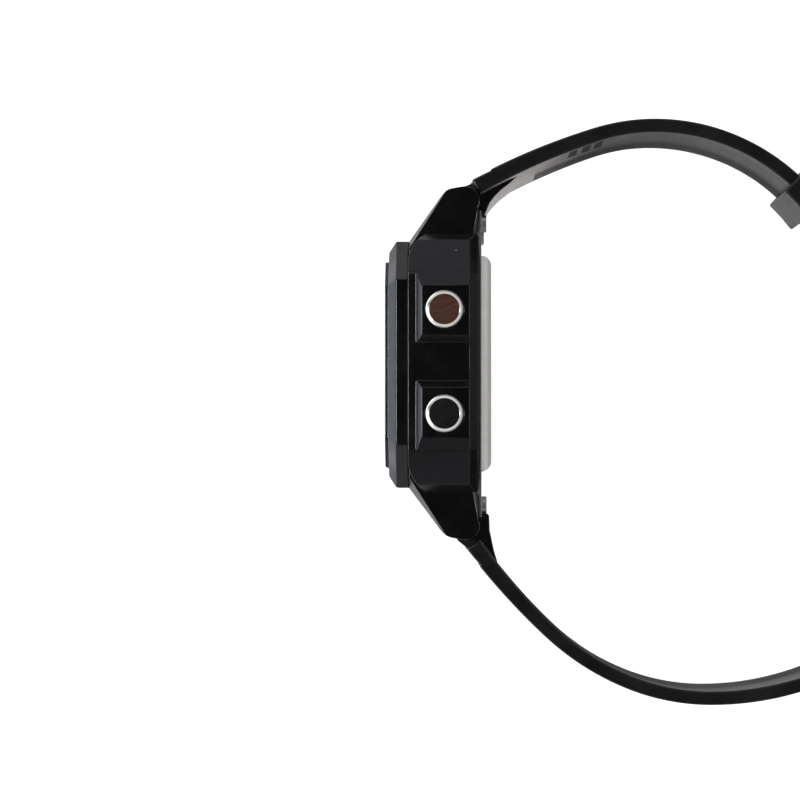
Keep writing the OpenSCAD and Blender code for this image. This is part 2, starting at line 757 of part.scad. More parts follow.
module battery_holder() color([0.2, 0.2, 0.22]) lay_on_side() difference() {
    slab(holder_hx, holder_hy, holder_z, holder_top_z);
    translate([battery_pos[0], battery_pos[1], 0]) cylinder(d = battery_d + 2 * seat_gap, h = board_z);
    translate([buzzer_pos[0], buzzer_pos[1], 0])
        cylinder(r = buzzer_r + buzzer_wire + buzzer_room, h = board_z);
    module_screw_holes();
}

module battery() color(steel) lay_on_side() translate([battery_pos[0], battery_pos[1], battery_z])
    cylinder(d = battery_d, h = battery_t);

module battery_contact() color([0.85, 0.7, 0.35]) lay_on_side()
    translate([battery_pos[0], battery_pos[1], board_z - contact_t]) cylinder(r = contact_r, h = contact_t);

module battery_clip() color(steel) lay_on_side() {
    block_at([0, battery_pos[1]], [2 * (holder_hx + clip_strip_t), clip_strip_w, clip_strip_t],
        battery_z - clip_strip_t);
    both_sides() block_at([holder_hx + clip_strip_t / 2, battery_pos[1]],
        [clip_strip_t, clip_strip_w, clip_leg_h], battery_z - clip_strip_t);
}

module module_screws() color(steel) lay_on_side() four_corners()
    translate([module_screw_pos[0], module_screw_pos[1], holder_z]) {
        translate([0, 0, -module_screw_head_h]) cylinder(d = module_screw_head_d, h = module_screw_head_h);
        translate([0, 0, -weld]) cylinder(d = module_screw_d, h = module_screw_l + weld);
    }

module switch_contacts() color([0.85, 0.7, 0.35]) lay_on_side() four_corners()
    block_at([module_hx + switch_t / 2, pusher_y], [switch_t, switch_w, switch_h], switch_z);

module piezo_disc() color([0.85, 0.7, 0.35]) lay_on_side() translate([piezo_pos[0], piezo_pos[1], plate_t])
    cylinder(r = piezo_r, h = piezo_t);

module buzzer_spring() color(steel) lay_on_side() translate([buzzer_pos[0], buzzer_pos[1], 0])
    coil(buzzer_r, buzzer_wire, buzzer_turns, plate_t + piezo_t, board_z);

// Buttons

function face_x(at) = guard_x + (at[0] > 0 ? face_out : -face_below);

module pusher(at) color(dark_steel) lay_on_side() at_button(at) rotate_extrude() polygon([
    [0, stem_end_x], [stem_r, stem_end_x], [stem_r, clip_x - clip_gap], [groove_r, clip_x - clip_gap],
    [groove_r, clip_x + clip_t], [stem_r, clip_x + clip_t], [stem_r, o_ring_x], [groove_r, o_ring_x],
    [groove_r, o_ring_x + o_ring_w], [stem_r, o_ring_x + o_ring_w], [stem_r, head_x],
    [pusher_r, head_x], [pusher_r, face_x(at) - pusher_bevel_h], [pusher_r - pusher_bevel, face_x(at)],
    [0, face_x(at)]]);

module pusher_spring(at) color(steel) lay_on_side() at_button(at)
    coil(spring_r, spring_wire, spring_turns, well_x, head_x);

module pusher_o_ring(at) color(black_plastic) lay_on_side() at_button(at)
    translate([0, 0, o_ring_x + o_ring_w / 2]) rotate_extrude() translate([o_ring_r, 0]) circle(o_ring_wire);

module pusher_clip(at) color(steel) lay_on_side() at_button(at) translate([0, 0, clip_x]) difference() {
    cylinder(r = clip_r, h = clip_t);
    translate([0, 0, -through]) cylinder(r = groove_r + fit_gap, h = clip_t + 2 * through);
    translate([0, -clip_slot / 2, -through]) cube([2 * clip_r, clip_slot, clip_t + 2 * through]);
}

// Spring bars, drawn along X

module bar_tube(half) rotate([0, 90, 0]) difference() {
    cylinder(r = bar_r, h = 2 * half, center = true);
    cylinder(r = bar_r - bar_wall, h = 2 * (half - collar_l), center = true);
    cylinder(r = pin_r + fit_gap, h = 3 * half, center = true);
}

module bar_pins(half) both_sides() rotate([0, 90, 0]) {
    translate([0, 0, half - pin_in_l]) cylinder(r = pin_r, h = pin_in_l + pin_reach + seat_gap);
    translate([0, 0, half - pin_in_l]) cylinder(r = collar_r, h = collar_l);
}

module bar_spring(half) rotate([0, 90, 0])
    coil(collar_r - bar_spring_in, bar_spring_wire, bar_spring_turns, pin_in_l - half, half - pin_in_l, 6, 4);

module lug_bar_tubes() color(steel) lay_on_side() both_ends() translate([0, lug_y, lug_z])
    bar_tube(lug_bar_half);
module lug_bar_pins() color(steel) lay_on_side() both_ends() translate([0, lug_y, lug_z])
    bar_pins(lug_bar_half);
module lug_bar_springs() color(steel) lay_on_side() both_ends() translate([0, lug_y, lug_z])
    bar_spring(lug_bar_half);

// Straps

function arc_length(arc) = arc[0] * arc[1] * PI / 180;
function inward(heading) = [-cos(heading), -sin(heading)];
function turned(p, r, sweep) = let (c = [p[0], p[1]] + r * inward(p[2]), q = c - r * inward(p[2] - sweep))
    [q[0], q[1], p[2] - sweep];

// Point [y, z, heading] of the outer face at the distance s along a route.
function along(p, arcs, s, i = 0) = let (l = arc_length(arcs[i]))
    (s <= l || i == len(arcs) - 1) ? turned(p, arcs[i][0], s / arcs[i][0] * 180 / PI)
                                   : along(turned(p, arcs[i][0], arcs[i][1]), arcs, s - l, i + 1);
function short_at(s) = along(concat(short_start, [short_heading]), short_arcs, s);
function long_at(s) = along(concat(long_start, [long_heading]), long_arcs, s);
function point_at(long, s) = long ? long_at(s) : short_at(s);
function below(p, depth) = [p[0], p[1]] + depth * inward(p[2]);
function thickness(s) = strap_t + (strap_lug_t - strap_t) * max(0, 1 - s / thin_s);
function half_width(share) = (strap_lug_w - (strap_lug_w - strap_w) * share) / 2;

// Places a piece on the outer face: X across, Y along and Z out of the strap.
module on_strap(long, s) {
    p = point_at(long, s);
    translate([0, p[0], p[1]]) rotate([p[2] - 90, 0, 0]) children();
}

// Side outline of a strap from the lug to the distance l.
function strap_outline(long, l) = let (n = floor(l / ds)) concat([heel],
    [below(point_at(long, 0), step_h / 2), below(point_at(long, step_s), step_h),
     below(point_at(long, step_s), 0)],
    [for (i = [2:n]) below(point_at(long, l * i / n), 0)],
    [for (i = [n:-1:1]) below(point_at(long, l * i / n), thickness(l * i / n))]);

// Outline of the half width over the depth, from the lug to the narrow part.
function taper_outline(long, low_z) = let (points = [for (i = [0:len(taper_s) - 1])
    [half_width(taper_share[i]), point_at(long, taper_s[i])[1]]])
    concat([[half_width(0), bezel_seat_z]], points, [[half_width(1), low_z]]);

// Side outline of the tongue round the spring bar, of the lip that meets the back plate and of the
// web that runs from it to the strap.
function tongue_outline(long) = let (lip_low_z = lip_z - (long ? long_lip_t : short_lip_t),
        root_s = long ? long_root_s : short_root_s) concat(
    [[lip_y, lip_low_z + lip_bevel], [lip_y + lip_bevel, lip_low_z]],
    [for (offset = long ? long_web : short_web) [lug_y, lug_z] + offset],
    [below(point_at(long, root_s), thickness(root_s) - root_in), below(point_at(long, face_s), face_in),
     below(point_at(long, tip_s), step_h), [lug_y, lug_z] + (long ? long_crown : short_crown),
     [lug_y + tongue_r * cos(tongue_face), lug_z + tongue_r * sin(tongue_face)], [lug_y, lug_z],
     [plate_hy + tongue_plate_gap, lug_z - tongue_r * sin(tongue_face)],
     [plate_hy + tongue_plate_gap, lip_z], [lip_y, lip_z]]);

module strap_blank(long, l) {
    intersection() {
        side_view(2 * strap_lug_w) polygon(strap_outline(long, l));
        front_view(2 * strap_reach) polygon(mirrored(taper_outline(long, -strap_reach)));
    }
    side_view(2 * tongue_hx) polygon(tongue_outline(long));
    translate([-tongue_hx, lug_y, lug_z]) rotate([0, 90, 0]) cylinder(r = tongue_r, h = 2 * tongue_hx);
}

module lug_bar_hole() translate([-case_w, lug_y, lug_z]) rotate([0, 90, 0])
    cylinder(r = bar_r + run_gap, h = 2 * case_w);

module at_buckle_bar() on_strap(false, buckle_bar_s) translate([0, 0, -strap_t / 2]) children();

module keeper_notches() both_sides() on_strap(false, fixed_keeper_s)
    translate([strap_w / 2 - keeper_notch, -keeper_l / 2, -2 * strap_t])
        cube([strap_w, keeper_l, 4 * strap_t]);

module strap_short() color(soft_resin) lay_on_side() difference() {
    union() {
        strap_blank(false, buckle_bar_s);
        at_buckle_bar() rotate([0, 90, 0]) cylinder(r = buckle_end_r, h = 2 * strap_end_hx, center = true);
    }
    lug_bar_hole();
    keeper_notches();
    at_buckle_bar() rotate([0, 90, 0]) cylinder(r = bar_r + run_gap, h = case_w, center = true);
    at_buckle_bar() both_sides() translate([strap_end_hx, -strap_neck_l, -cut_reach]) cube(2 * cut_reach);
    at_buckle_bar() translate([-tang_w / 2 - seat_gap, -tang_slot_l, -cut_reach])
        cube([tang_w + 2 * seat_gap, 2 * cut_reach, 2 * cut_reach]);
}

module tail_cutter() on_strap(true, long_strap_l - tail_round_l) difference() {
    translate([-cut_reach, 0, -cut_reach]) cube(2 * cut_reach);
    scale([strap_w / 2 / tail_round_l, 1, 1]) cylinder(r = tail_round_l, h = 3 * cut_reach, center = true);
}

module strap_long() color(soft_resin) lay_on_side() mirror([0, 1, 0]) difference() {
    strap_blank(true, long_strap_l);
    lug_bar_hole();
    for (i = [0:hole_count - 1]) on_strap(true, first_hole_s + i * hole_pitch)
        cylinder(d = hole_d, h = 4 * strap_t, center = true);
    tail_cutter();
}

// Keepers: loops round the short strap that follow its curve

module keeper_loop(s, half_in) {
    arc_start = short_at(keeper_arc_s);
    centre = [arc_start[0], arc_start[1]] + keeper_r * inward(arc_start[2]);
    half_turn = keeper_l / 2 / keeper_r * 180 / PI;
    heading = short_at(s)[2];
    inside_r = keeper_r - strap_t - keeper_play;
    outside_r = keeper_r + keeper_room;
    translate([0, centre[0], centre[1]]) rotate([heading - half_turn, 0, 0]) rotate([90, 0, 90])
        rotate_extrude(angle = 2 * half_turn, $fn = 360) difference() {
            translate([inside_r - keeper_wall, -half_in - keeper_wall])
                square([outside_r - inside_r + 2 * keeper_wall, 2 * (half_in + keeper_wall)]);
            translate([inside_r, -half_in]) square([outside_r - inside_r, 2 * half_in]);
        }
}

module fixed_keeper() color(soft_resin) lay_on_side()
    keeper_loop(fixed_keeper_s, strap_w / 2 - keeper_notch + run_gap);
module free_keeper() color(soft_resin) lay_on_side()
    keeper_loop(free_keeper_s, strap_w / 2 + keeper_side_gap);

// Buckle

module buckle_frame() color(resin) lay_on_side() at_buckle_bar() difference() {
    intersection() {
        translate([0, 0, -case_w / 2]) linear_extrude(case_w) difference() {
            translate([-buckle_out_hx, -ear_r]) square([2 * buckle_out_hx, ear_r + buckle_l]);
            translate([-ear_hx, -2 * ear_r]) square([2 * ear_hx, 2 * ear_r + window_s]);
            translate([-buckle_in_hx, window_s])
                square([2 * buckle_in_hx, buckle_l - cross_bar_w - window_s]);
        }
        side_view(case_w) union() {
            circle(ear_r);
            polygon([[0, -ear_r], [buckle_l - buckle_round, -buckle_t / 2],
                [buckle_l, buckle_round - buckle_t / 2], [buckle_l, buckle_t / 2 - buckle_round],
                [buckle_l - buckle_round, buckle_t / 2], [2 * ear_r, buckle_t / 2], [0, ear_r]]);
        }
    }
    both_sides() translate([ear_hx - through, 0, 0]) rotate([0, 90, 0])
        cylinder(r = pin_r + fit_gap, h = pin_reach + seat_gap + through);
}

module buckle_tongue() color(steel) lay_on_side() at_buckle_bar() difference() {
    union() {
        side_view(tang_w) polygon([[0, 0], [buckle_l - cross_bar_w - tang_tip_l, tang_rest],
            [tang_l, tang_rest], [tang_l, tang_rest + tang_tip_t], [tang_l - tang_tip_l, tang_rest + tang_t],
            [tang_neck_l, tang_rest + tang_t - tang_thin], [0, tang_r]]);
        rotate([0, 90, 0]) cylinder(r = tang_r, h = tang_w, center = true);
    }
    rotate([0, 90, 0]) cylinder(r = bar_r + run_gap, h = case_w, center = true);
}

module buckle_bar_tube() color(steel) lay_on_side() at_buckle_bar() bar_tube(buckle_bar_half);
module buckle_bar_pins() color(steel) lay_on_side() at_buckle_bar() bar_pins(buckle_bar_half);
module buckle_bar_spring() color(steel) lay_on_side() at_buckle_bar() bar_spring(buckle_bar_half);

case_shell();
bezel();
crystal();
crystal_gasket();
case_back();
case_back_gasket();
case_back_screws();
display_mask();
lcd_panel();
light_guide();
backlight_led();
contact_strips();
module_frame();
circuit_board();
processor_chip();
quartz_can();
capacitors();
battery_holder();
battery();
battery_contact();
battery_clip();
module_screws();
switch_contacts();
piezo_disc();
buzzer_spring();
lug_bar_tubes();
lug_bar_pins();
lug_bar_springs();
strap_short();
strap_long();
fixed_keeper();
free_keeper();
buckle_frame();
buckle_tongue();
buckle_bar_tube();
buckle_bar_pins();
buckle_bar_spring();
for (at = SIDES) {
    pusher(at);
    pusher_spring(at);
    pusher_o_ring(at);
    pusher_clip(at);
}
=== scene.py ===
"""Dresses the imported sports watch: moulded resin case and bezel, shaped straps and buckle, glazed
display, turned buttons, brushed steel back, and a finish for every piece of the module inside."""
import logging
import math
from dataclasses import dataclass
from enum import Enum
from typing import Callable, Iterable

import bmesh
import bpy
from mathutils import Matrix, Vector


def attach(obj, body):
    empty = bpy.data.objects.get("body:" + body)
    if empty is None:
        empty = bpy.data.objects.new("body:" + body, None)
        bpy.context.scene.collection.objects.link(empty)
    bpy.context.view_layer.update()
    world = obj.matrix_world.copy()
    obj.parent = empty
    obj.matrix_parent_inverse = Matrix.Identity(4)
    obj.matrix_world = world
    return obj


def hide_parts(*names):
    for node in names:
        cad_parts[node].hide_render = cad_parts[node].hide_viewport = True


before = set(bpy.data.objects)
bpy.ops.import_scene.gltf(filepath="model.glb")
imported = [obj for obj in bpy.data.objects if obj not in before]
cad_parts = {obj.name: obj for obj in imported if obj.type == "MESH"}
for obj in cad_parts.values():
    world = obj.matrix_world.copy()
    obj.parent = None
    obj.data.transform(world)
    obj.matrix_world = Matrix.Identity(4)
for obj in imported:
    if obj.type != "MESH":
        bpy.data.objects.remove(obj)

LOG = logging.getLogger("sports_watch")
MERGE_DISTANCE = 0.002
FLAT_ANGLE = 0.6
CREASE_ANGLES = (1.5, 8.0)
CREASE_AREA = 4.0
FACING = 0.9
EDGE_GAIN = 2.5
FLAT_WEIGHT = 60
NODE_STEP = 190

# The bench frame is in millimetres: x to 3 o'clock, y to 12 o'clock, z out of the dial.
BENCH_TO_ROW = Matrix.Scale(0.001, 4) @ Matrix(((0, -1, 0, 0), (0, 0, -1, 0), (1, 0, 0, 0), (0, 0, 0, 1)))
ROW_TO_BENCH = BENCH_TO_ROW.inverted()

Colour = tuple[float, float, float]
Point = tuple[float, float, float]
Pair = tuple[float, float]
FaceTest = Callable[[Vector, Vector], bool]
Material = bpy.types.Material
Node = bpy.types.Node
Socket = bpy.types.NodeSocket

# A ramp is its result at the start and at the end, and the values where it starts and ends.
Ramp = tuple[float, float, float, float]

# The watch's finishes by name, once they are built.
MATERIALS: dict[str, Material] = {}


class Side(Enum):
    """Which side of the case a button stands on."""

    RIGHT = 1
    LEFT = -1


class End(Enum):
    """Which end of the case a piece belongs to."""

    UPPER = 1
    LOWER = -1


def corners() -> list[tuple[Side, End, str]]:
    """Lists the places of the four buttons, with the words that name each."""
    return [(side, end, f"{end.name.lower()}_{side.name.lower()}") for side in Side for end in End]


# Modelling bench


class Workpiece:
    """A mesh that is being modelled on the bench, in millimetres, and then moved to its place."""

    def __init__(self, obj: bpy.types.Object) -> None:
        """Takes over a mesh object."""
        self.obj = obj

    @staticmethod
    def clear() -> None:
        """Deselects every object."""
        bpy.ops.object.select_all(action="DESELECT")

    @classmethod
    def from_active(cls, name: str) -> "Workpiece":
        """Names the object that an operator has just added.

        Args:
            name: The name of the new piece.

        Returns:
            The new workpiece, with its place applied to its mesh.
        """
        obj = bpy.context.view_layer.objects.active
        obj.name = obj.data.name = name
        bpy.ops.object.transform_apply(location=True, rotation=True, scale=True)
        return cls(obj)

    @classmethod
    def block(cls, name: str, low: Point, high: Point) -> "Workpiece":
        """Adds a box between two corners.

        Args:
            name: The name of the new piece.
            low: Its lowest corner on the bench.
            high: Its highest corner on the bench.

        Returns:
            The new workpiece.
        """
        cls.clear()
        bpy.ops.mesh.primitive_cube_add(size=1, location=[(a + b) / 2 for a, b in zip(low, high)])
        bpy.context.object.scale = [b - a for a, b in zip(low, high)]
        return cls.from_active(name)

    @classmethod
    def rod(cls, name: str, radius: float, length: float, sides: int = 48, turn: float = 0) -> "Workpiece":
        """Adds a cylinder in the middle of the bench, along z or turned about y.

        Args:
            name: The name of the new piece.
            radius: Its radius.
            length: Its length.
            sides: The number of its flat sides.
            turn: How far it is turned, in degrees.

        Returns:
            The new workpiece.
        """
        cls.clear()
        bpy.ops.mesh.primitive_cylinder_add(vertices=sides, radius=radius, depth=length, location=(0, 0, 0),
                                            rotation=(0, math.radians(turn), 0))
        return cls.from_active(name)

    @classmethod
    def from_node(cls, node: str, name: str) -> "Workpiece":
        """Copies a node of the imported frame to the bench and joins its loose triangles.

        Args:
            node: The node's name.
            name: The name of the copy.

        Returns:
            The copy as a workpiece, with its flat faces made whole.
        """
        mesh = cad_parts[node].data.copy()
        mesh.transform(ROW_TO_BENCH)
        mesh.materials.clear()
        mesh.name = name
        piece = cls(bpy.data.objects.new(name, mesh))
        bpy.context.scene.collection.objects.link(piece.obj)
        piece.alter(bpy.ops.mesh.remove_doubles, threshold=MERGE_DISTANCE)
        piece.alter(bpy.ops.mesh.dissolve_limited, angle_limit=math.radians(FLAT_ANGLE))
        return piece

    def pick(self) -> None:
        """Selects this piece alone and makes it the active one."""
        self.clear()
        self.obj.select_set(True)
        bpy.context.view_layer.objects.active = self.obj

    def alter(self, operator: Callable[..., object], test: FaceTest | None = None,
              **settings: object) -> None:
        """Runs an edit mode operator on the whole mesh, or on the faces that pass a test.

        Args:
            operator: The operator.
            test: Takes a face's centre and normal, and says whether it is wanted.
            **settings: The operator's settings.
        """
        self.pick()
        bpy.ops.object.mode_set(mode="EDIT")
        bpy.ops.mesh.select_mode(type="FACE" if test else "VERT")
        bpy.ops.mesh.select_all(action="DESELECT" if test else "SELECT")
        if test:
            shape = bmesh.from_edit_mesh(self.obj.data)
            for face in shape.faces:
                face.select_set(test(face.calc_center_median(), face.normal))
            bmesh.update_edit_mesh(self.obj.data)
        operator(**settings)
        bpy.ops.object.mode_set(mode="OBJECT")

    def cut_lines(self, axis: int, places: Iterable[float]) -> None:
        """Bisects the whole mesh across an axis, once for each place.

        Args:
            axis: 0 for x, 1 for y or 2 for z.
            places: Where the cuts lie along that axis.
        """
        normal = [float(i == axis) for i in range(3)]
        for place in places:
            self.alter(bpy.ops.mesh.bisect, plane_co=[place * n for n in normal], plane_no=normal)

    def cut_away(self, point: Point, normal: Point) -> None:
        """Cuts off what lies beyond a plane, on the side its normal points to, and closes the cut."""
        self.alter(bpy.ops.mesh.bisect, plane_co=point, plane_no=normal, use_fill=True, clear_outer=True)

    def press(self, test: FaceTest, move: Point, scale: Point = (1.0, 1.0, 1.0)) -> None:
        """Extrudes the faces that pass a test, and then scales them about the middle of the bench."""
        self.alter(bpy.ops.mesh.extrude_region_move, test, TRANSFORM_OT_translate={"value": move})
        self.alter(bpy.ops.transform.resize, test, value=scale, center_override=(0.0, 0.0, 0.0))

    def paint(self, ground: str, other: str, test: FaceTest) -> None:
        """Gives the faces that pass a test another finish than the rest.

        Args:
            ground: The finish of the rest.
            other: The finish of the faces that pass.
            test: Takes a face's centre and normal, and says whether it is wanted.
        """
        for look in (ground, other):
            self.obj.data.materials.append(MATERIALS[look])
        for face in self.obj.data.polygons:
            face.material_index = int(test(face.center, face.normal))

    def crease(self) -> None:
        """Keeps the slight creases between broad faces crisp."""
        least, most = CREASE_ANGLES
        shape = bmesh.new()
        shape.from_mesh(self.obj.data)
        for line in shape.edges:
            if len(line.link_faces) == 2 and min(face.calc_area() for face in line.link_faces) > CREASE_AREA:
                line.smooth = not least < math.degrees(line.calc_face_angle()) < most
        shape.to_mesh(self.obj.data)
        shape.free()

    def modify(self, kind: str, **settings: object) -> None:
        """Adds a modifier and applies it.

        Args:
            kind: The modifier's type.
            **settings: Its settings.
        """
        self.pick()
        modifier = self.obj.modifiers.new(kind.title(), kind)
        for key, value in settings.items():
            setattr(modifier, key, value)
        bpy.ops.object.modifier_apply(modifier=modifier.name)

    def soften(self, width: float, segments: int = 2, angle: float = 28) -> None:
        """Rounds the edges that turn by more than an angle, with a width and a number of segments."""
        self.modify("BEVEL", width=width, segments=segments, limit_method="ANGLE",
                    angle_limit=math.radians(angle), use_clamp_overlap=False, miter_outer="MITER_ARC",
                    harden_normals=False)

    def carve(self, tool: "Workpiece", operation: str = "DIFFERENCE") -> None:
        """Cuts this piece with another, or does another boolean operation, and throws the tool away."""
        self.modify("BOOLEAN", object=tool.obj, operation=operation, solver="EXACT")
        bpy.data.objects.remove(tool.obj)

    def join(self, *others: "Workpiece") -> None:
        """Makes other pieces part of this one.

        Args:
            *others: The pieces to take in.
        """
        self.pick()
        for other in others:
            other.obj.select_set(True)
        bpy.ops.object.join()

    def move(self, *steps: Matrix) -> None:
        """Moves the mesh by each matrix in turn."""
        for step in steps:
            self.obj.data.transform(step)

    def bend(self, place: Callable[[Vector], Vector]) -> None:
        """Moves every vertex.

        Args:
            place: Takes a vertex's place and gives its new one.
        """
        for vertex in self.obj.data.vertices:
            vertex.co = place(vertex.co)
        self.obj.data.update()

    def fix_normals(self) -> None:
        """Turns all faces outwards."""
        self.alter(bpy.ops.mesh.normals_make_consistent, inside=False)

    def mirror(self) -> None:
        """Swaps the piece's upper and lower ends."""
        self.move(Matrix.Scale(-1, 4, (0, 1, 0)))
        self.fix_normals()

    def mark_edges(self) -> None:
        """Stores how sharply the surface turns at each vertex, from 0 to 1, as the attribute edge."""
        mesh = self.obj.data
        normals: list[list[Vector]] = [[] for _ in mesh.vertices]
        for face in mesh.polygons:
            for index in face.vertices:
                normals[index].append(face.normal.copy())
        edge = mesh.attributes.new("edge", "FLOAT", "POINT")
        for index, around in enumerate(normals):
            least = min((a.dot(b) for i, a in enumerate(around) for b in around[i + 1:]), default=1.0)
            edge.data[index].value = max(0.0, min(1.0, (1.0 - least) * EDGE_GAIN))

    def finish(self, body: str, look: str, slot: str, replaces: tuple[str, ...] = (), smooth: float = 40,
               flats: bool = False) -> None:
        """Moves the piece to its place in the row, finishes and shades it, and puts it on its body in place
        of the nodes it replaces.

        Args:
            body: The body that it moves with.
            look: The finish of all its faces that have none yet.
            slot: Not used.
            replaces: The nodes that it stands for.
            smooth: The largest angle that is shaded smooth, in degrees.
            flats: Whether its flat faces stay flat up to their rounded edges.
        """
        if flats:
            self.crease()
        mesh = self.obj.data
        mesh.transform(BENCH_TO_ROW)
        mesh.update()
        self.mark_edges()
        if not mesh.materials:
            mesh.materials.append(MATERIALS[look])
        for index, held in enumerate(mesh.materials):
            mesh.materials[index] = held or MATERIALS[look]
        self.pick()
        bpy.ops.object.shade_smooth_by_angle(angle=math.radians(smooth))
        if flats:
            self.modify("WEIGHTED_NORMAL", keep_sharp=True, weight=FLAT_WEIGHT)
        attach(self.obj, body)
        if replaces:
            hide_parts(*replaces)
        mesh.calc_loop_triangles()
        LOG.info("%s: %d triangles on %s", self.obj.name, len(mesh.loop_triangles), body)


# Finishes


class Nodes:
    """Adds and links the nodes of one tree, left to right."""

    def __init__(self, tree: bpy.types.NodeTree) -> None:
        """Takes over a node tree and empties it."""
        self.tree = tree
        tree.nodes.clear()

    def add(self, kind: str, inputs: dict[str | int, object] | None = None, **settings: object) -> Node:
        """Adds a node.

        Args:
            kind: The shader node's type.
            inputs: Sockets to link to its inputs, and values for them; a colour needs no alpha.
            **settings: Its own settings.

        Returns:
            The new node.
        """
        node = self.tree.nodes.new("ShaderNode" + kind)
        node.location = (len(self.tree.nodes) * NODE_STEP, 0)
        for key, value in settings.items():
            setattr(node, key, value)
        for key, item in (inputs or {}).items():
            socket = node.inputs[key]
            if isinstance(item, Socket):
                self.tree.links.new(item, socket)
            else:
                socket.default_value = (*item, 1.0) if socket.type == "RGBA" else item
        return node

    def math(self, operation: str, a: object, b: object, clamp: bool = False) -> Socket:
        """Does one sum with numbers or sockets, and may keep its result between 0 and 1."""
        return self.add("Math", {0: a, 1: b}, operation=operation, use_clamp=clamp).outputs[0]

    def times(self, first: object, *others: object) -> Socket:
        """Multiplies numbers and sockets.

        Args:
            first: The first of them.
            *others: The others.

        Returns:
            The product.
        """
        for other in others:
            first = self.math("MULTIPLY", first, other)
        return first

    def blend(self, mask: Socket, low: object, high: object) -> Socket:
        """Mixes two colours by a mask, which shows the second one."""
        return self.add("Mix", {0: mask, 6: low, 7: high}, data_type="RGBA").outputs[2]

    def spread(self, value: Socket, low: float, high: float, start: float = 0.0, end: float = 1.0,
               kind: str = "LINEAR") -> Socket:
        """Maps a value that runs from start to end to a result that runs from low to high."""
        return self.add("MapRange", {"Value": value, "From Min": start, "From Max": end, "To Min": low,
                                     "To Max": high}, interpolation_type=kind).outputs["Result"]

    def ramp(self, value: Socket, steps: Ramp) -> Socket:
        """Maps a value by a ramp, with a slow start and a slow end."""
        return self.spread(value, *steps, kind="SMOOTHSTEP")

    def place(self) -> Socket:
        """Gives the place on the piece."""
        return self.add("TexCoord").outputs["Object"]

    def noise(self, place: Socket, scale: object, shape: Pair) -> Socket:
        """Makes noise of a scale, and of a shape that is its detail and its roughness."""
        return self.add("TexNoise", {"Vector": place, "Scale": scale, "Detail": shape[0],
                                     "Roughness": shape[1]}).outputs[0]

    def bump(self, height: Socket, distance: float, strength: float = 1.0) -> Socket:
        """Turns a height into a normal."""
        return self.add("Bump", {"Height": height, "Distance": distance, "Strength": strength}).outputs[0]

    def effect(self, name: str, **inputs: object) -> bpy.types.bpy_prop_collection:
        """Adds a shared effect and gives its outputs."""
        return self.add("Group", dict(inputs), node_tree=bpy.data.node_groups[name]).outputs


@dataclass(frozen=True)
class Effects:
    """The shader node groups that several finishes share, each found by its name."""

    grain: Pair = (3.0, 0.55)
    cloud: Pair = (5.0, 0.6)
    cloud_share: float = 0.045
    lines: Pair = (4.0, 0.7)
    line_stretch: Point = (0.03, 1.0, 1.0)
    patches: Pair = (2.0, 0.5)
    patch_share: float = 0.12
    contrast: Ramp = (0.0, 1.0, 0.3, 0.7)
    breaks: Pair = (4.0, 0.5)
    broken: Ramp = (0.25, 1.0, 0.4, 0.65)
    speck: float = 0.055

    def build(self) -> None:
        """Builds each group once."""
        self._moulded_skin()
        self._brushed_lines()
        self._edge_wear()
        self._fine_dust()

    @staticmethod
    def _start(name: str, **inputs: float | None) -> tuple[Nodes, bpy.types.bpy_prop_collection]:
        """Starts a node group.

        Args:
            name: Its name.
            **inputs: The values of its inputs, or None for a vector.

        Returns:
            The nodes of the group, and what it is given.
        """
        tree = bpy.data.node_groups.new(name, "ShaderNodeTree")
        for key, value in inputs.items():
            kind = "NodeSocketVector" if value is None else "NodeSocketFloat"
            socket = tree.interface.new_socket(key, in_out="INPUT", socket_type=kind)
            if value is not None:
                socket.default_value = value
        return Nodes(tree), tree.nodes.new("NodeGroupInput").outputs

    @staticmethod
    def _end(tree: bpy.types.NodeTree, **results: Socket) -> None:
        """Ends a node group.

        Args:
            tree: Its tree.
            **results: What goes out, all plain values.
        """
        for key in results:
            tree.interface.new_socket(key, in_out="OUTPUT", socket_type="NodeSocketFloat")
        end = tree.nodes.new("NodeGroupOutput")
        for key, socket in results.items():
            tree.links.new(socket, end.inputs[key])

    def _moulded_skin(self) -> None:
        """Makes the fine grain and slow clouds of moulded resin."""
        nodes, given = self._start("moulded_skin", Scale=4000.0)
        place = nodes.place()
        cloud = nodes.noise(place, nodes.times(given["Scale"], self.cloud_share), self.cloud)
        self._end(nodes.tree, Grain=nodes.noise(place, given["Scale"], self.grain),
                  Cloud=nodes.spread(cloud, *self.contrast))

    def _brushed_lines(self) -> None:
        """Makes fine brushed lines along the first axis of the vector that it is given."""
        nodes, given = self._start("brushed_lines", Vector=None, Scale=6000.0)
        stretch = {0: given["Vector"], 1: self.line_stretch}
        along = nodes.add("VectorMath", stretch, operation="MULTIPLY").outputs[0]
        lines = nodes.noise(along, given["Scale"], self.lines)
        broad = nodes.times(given["Scale"], self.patch_share)
        self._end(nodes.tree, Lines=nodes.spread(lines, *self.contrast),
                  Patches=nodes.noise(along, broad, self.patches))

    def _edge_wear(self) -> None:
        """Makes a broken mask along the rounded edges."""
        nodes, given = self._start("edge_wear", Scale=900.0, Amount=0.5)
        edge = nodes.add("Attribute", attribute_name="edge", attribute_type="GEOMETRY").outputs["Fac"]
        breaks = nodes.noise(nodes.place(), given["Scale"], self.breaks)
        worn = nodes.times(edge, nodes.spread(breaks, *self.broken))
        self._end(nodes.tree, Mask=nodes.math("MULTIPLY", worn, given["Amount"], clamp=True))

    def _fine_dust(self) -> None:
        """Makes few small pale specks."""
        nodes, given = self._start("fine_dust", Scale=420.0, Rarity=0.93)
        cell = nodes.add("TexVoronoi", {"Vector": nodes.place(), "Scale": given["Scale"]}).outputs
        near = nodes.math("LESS_THAN", cell["Distance"], self.speck)
        pick = nodes.add("SeparateColor", {0: cell["Color"]}).outputs[0]
        self._end(nodes.tree, Mask=nodes.times(near, nodes.math("GREATER_THAN", pick, given["Rarity"])))


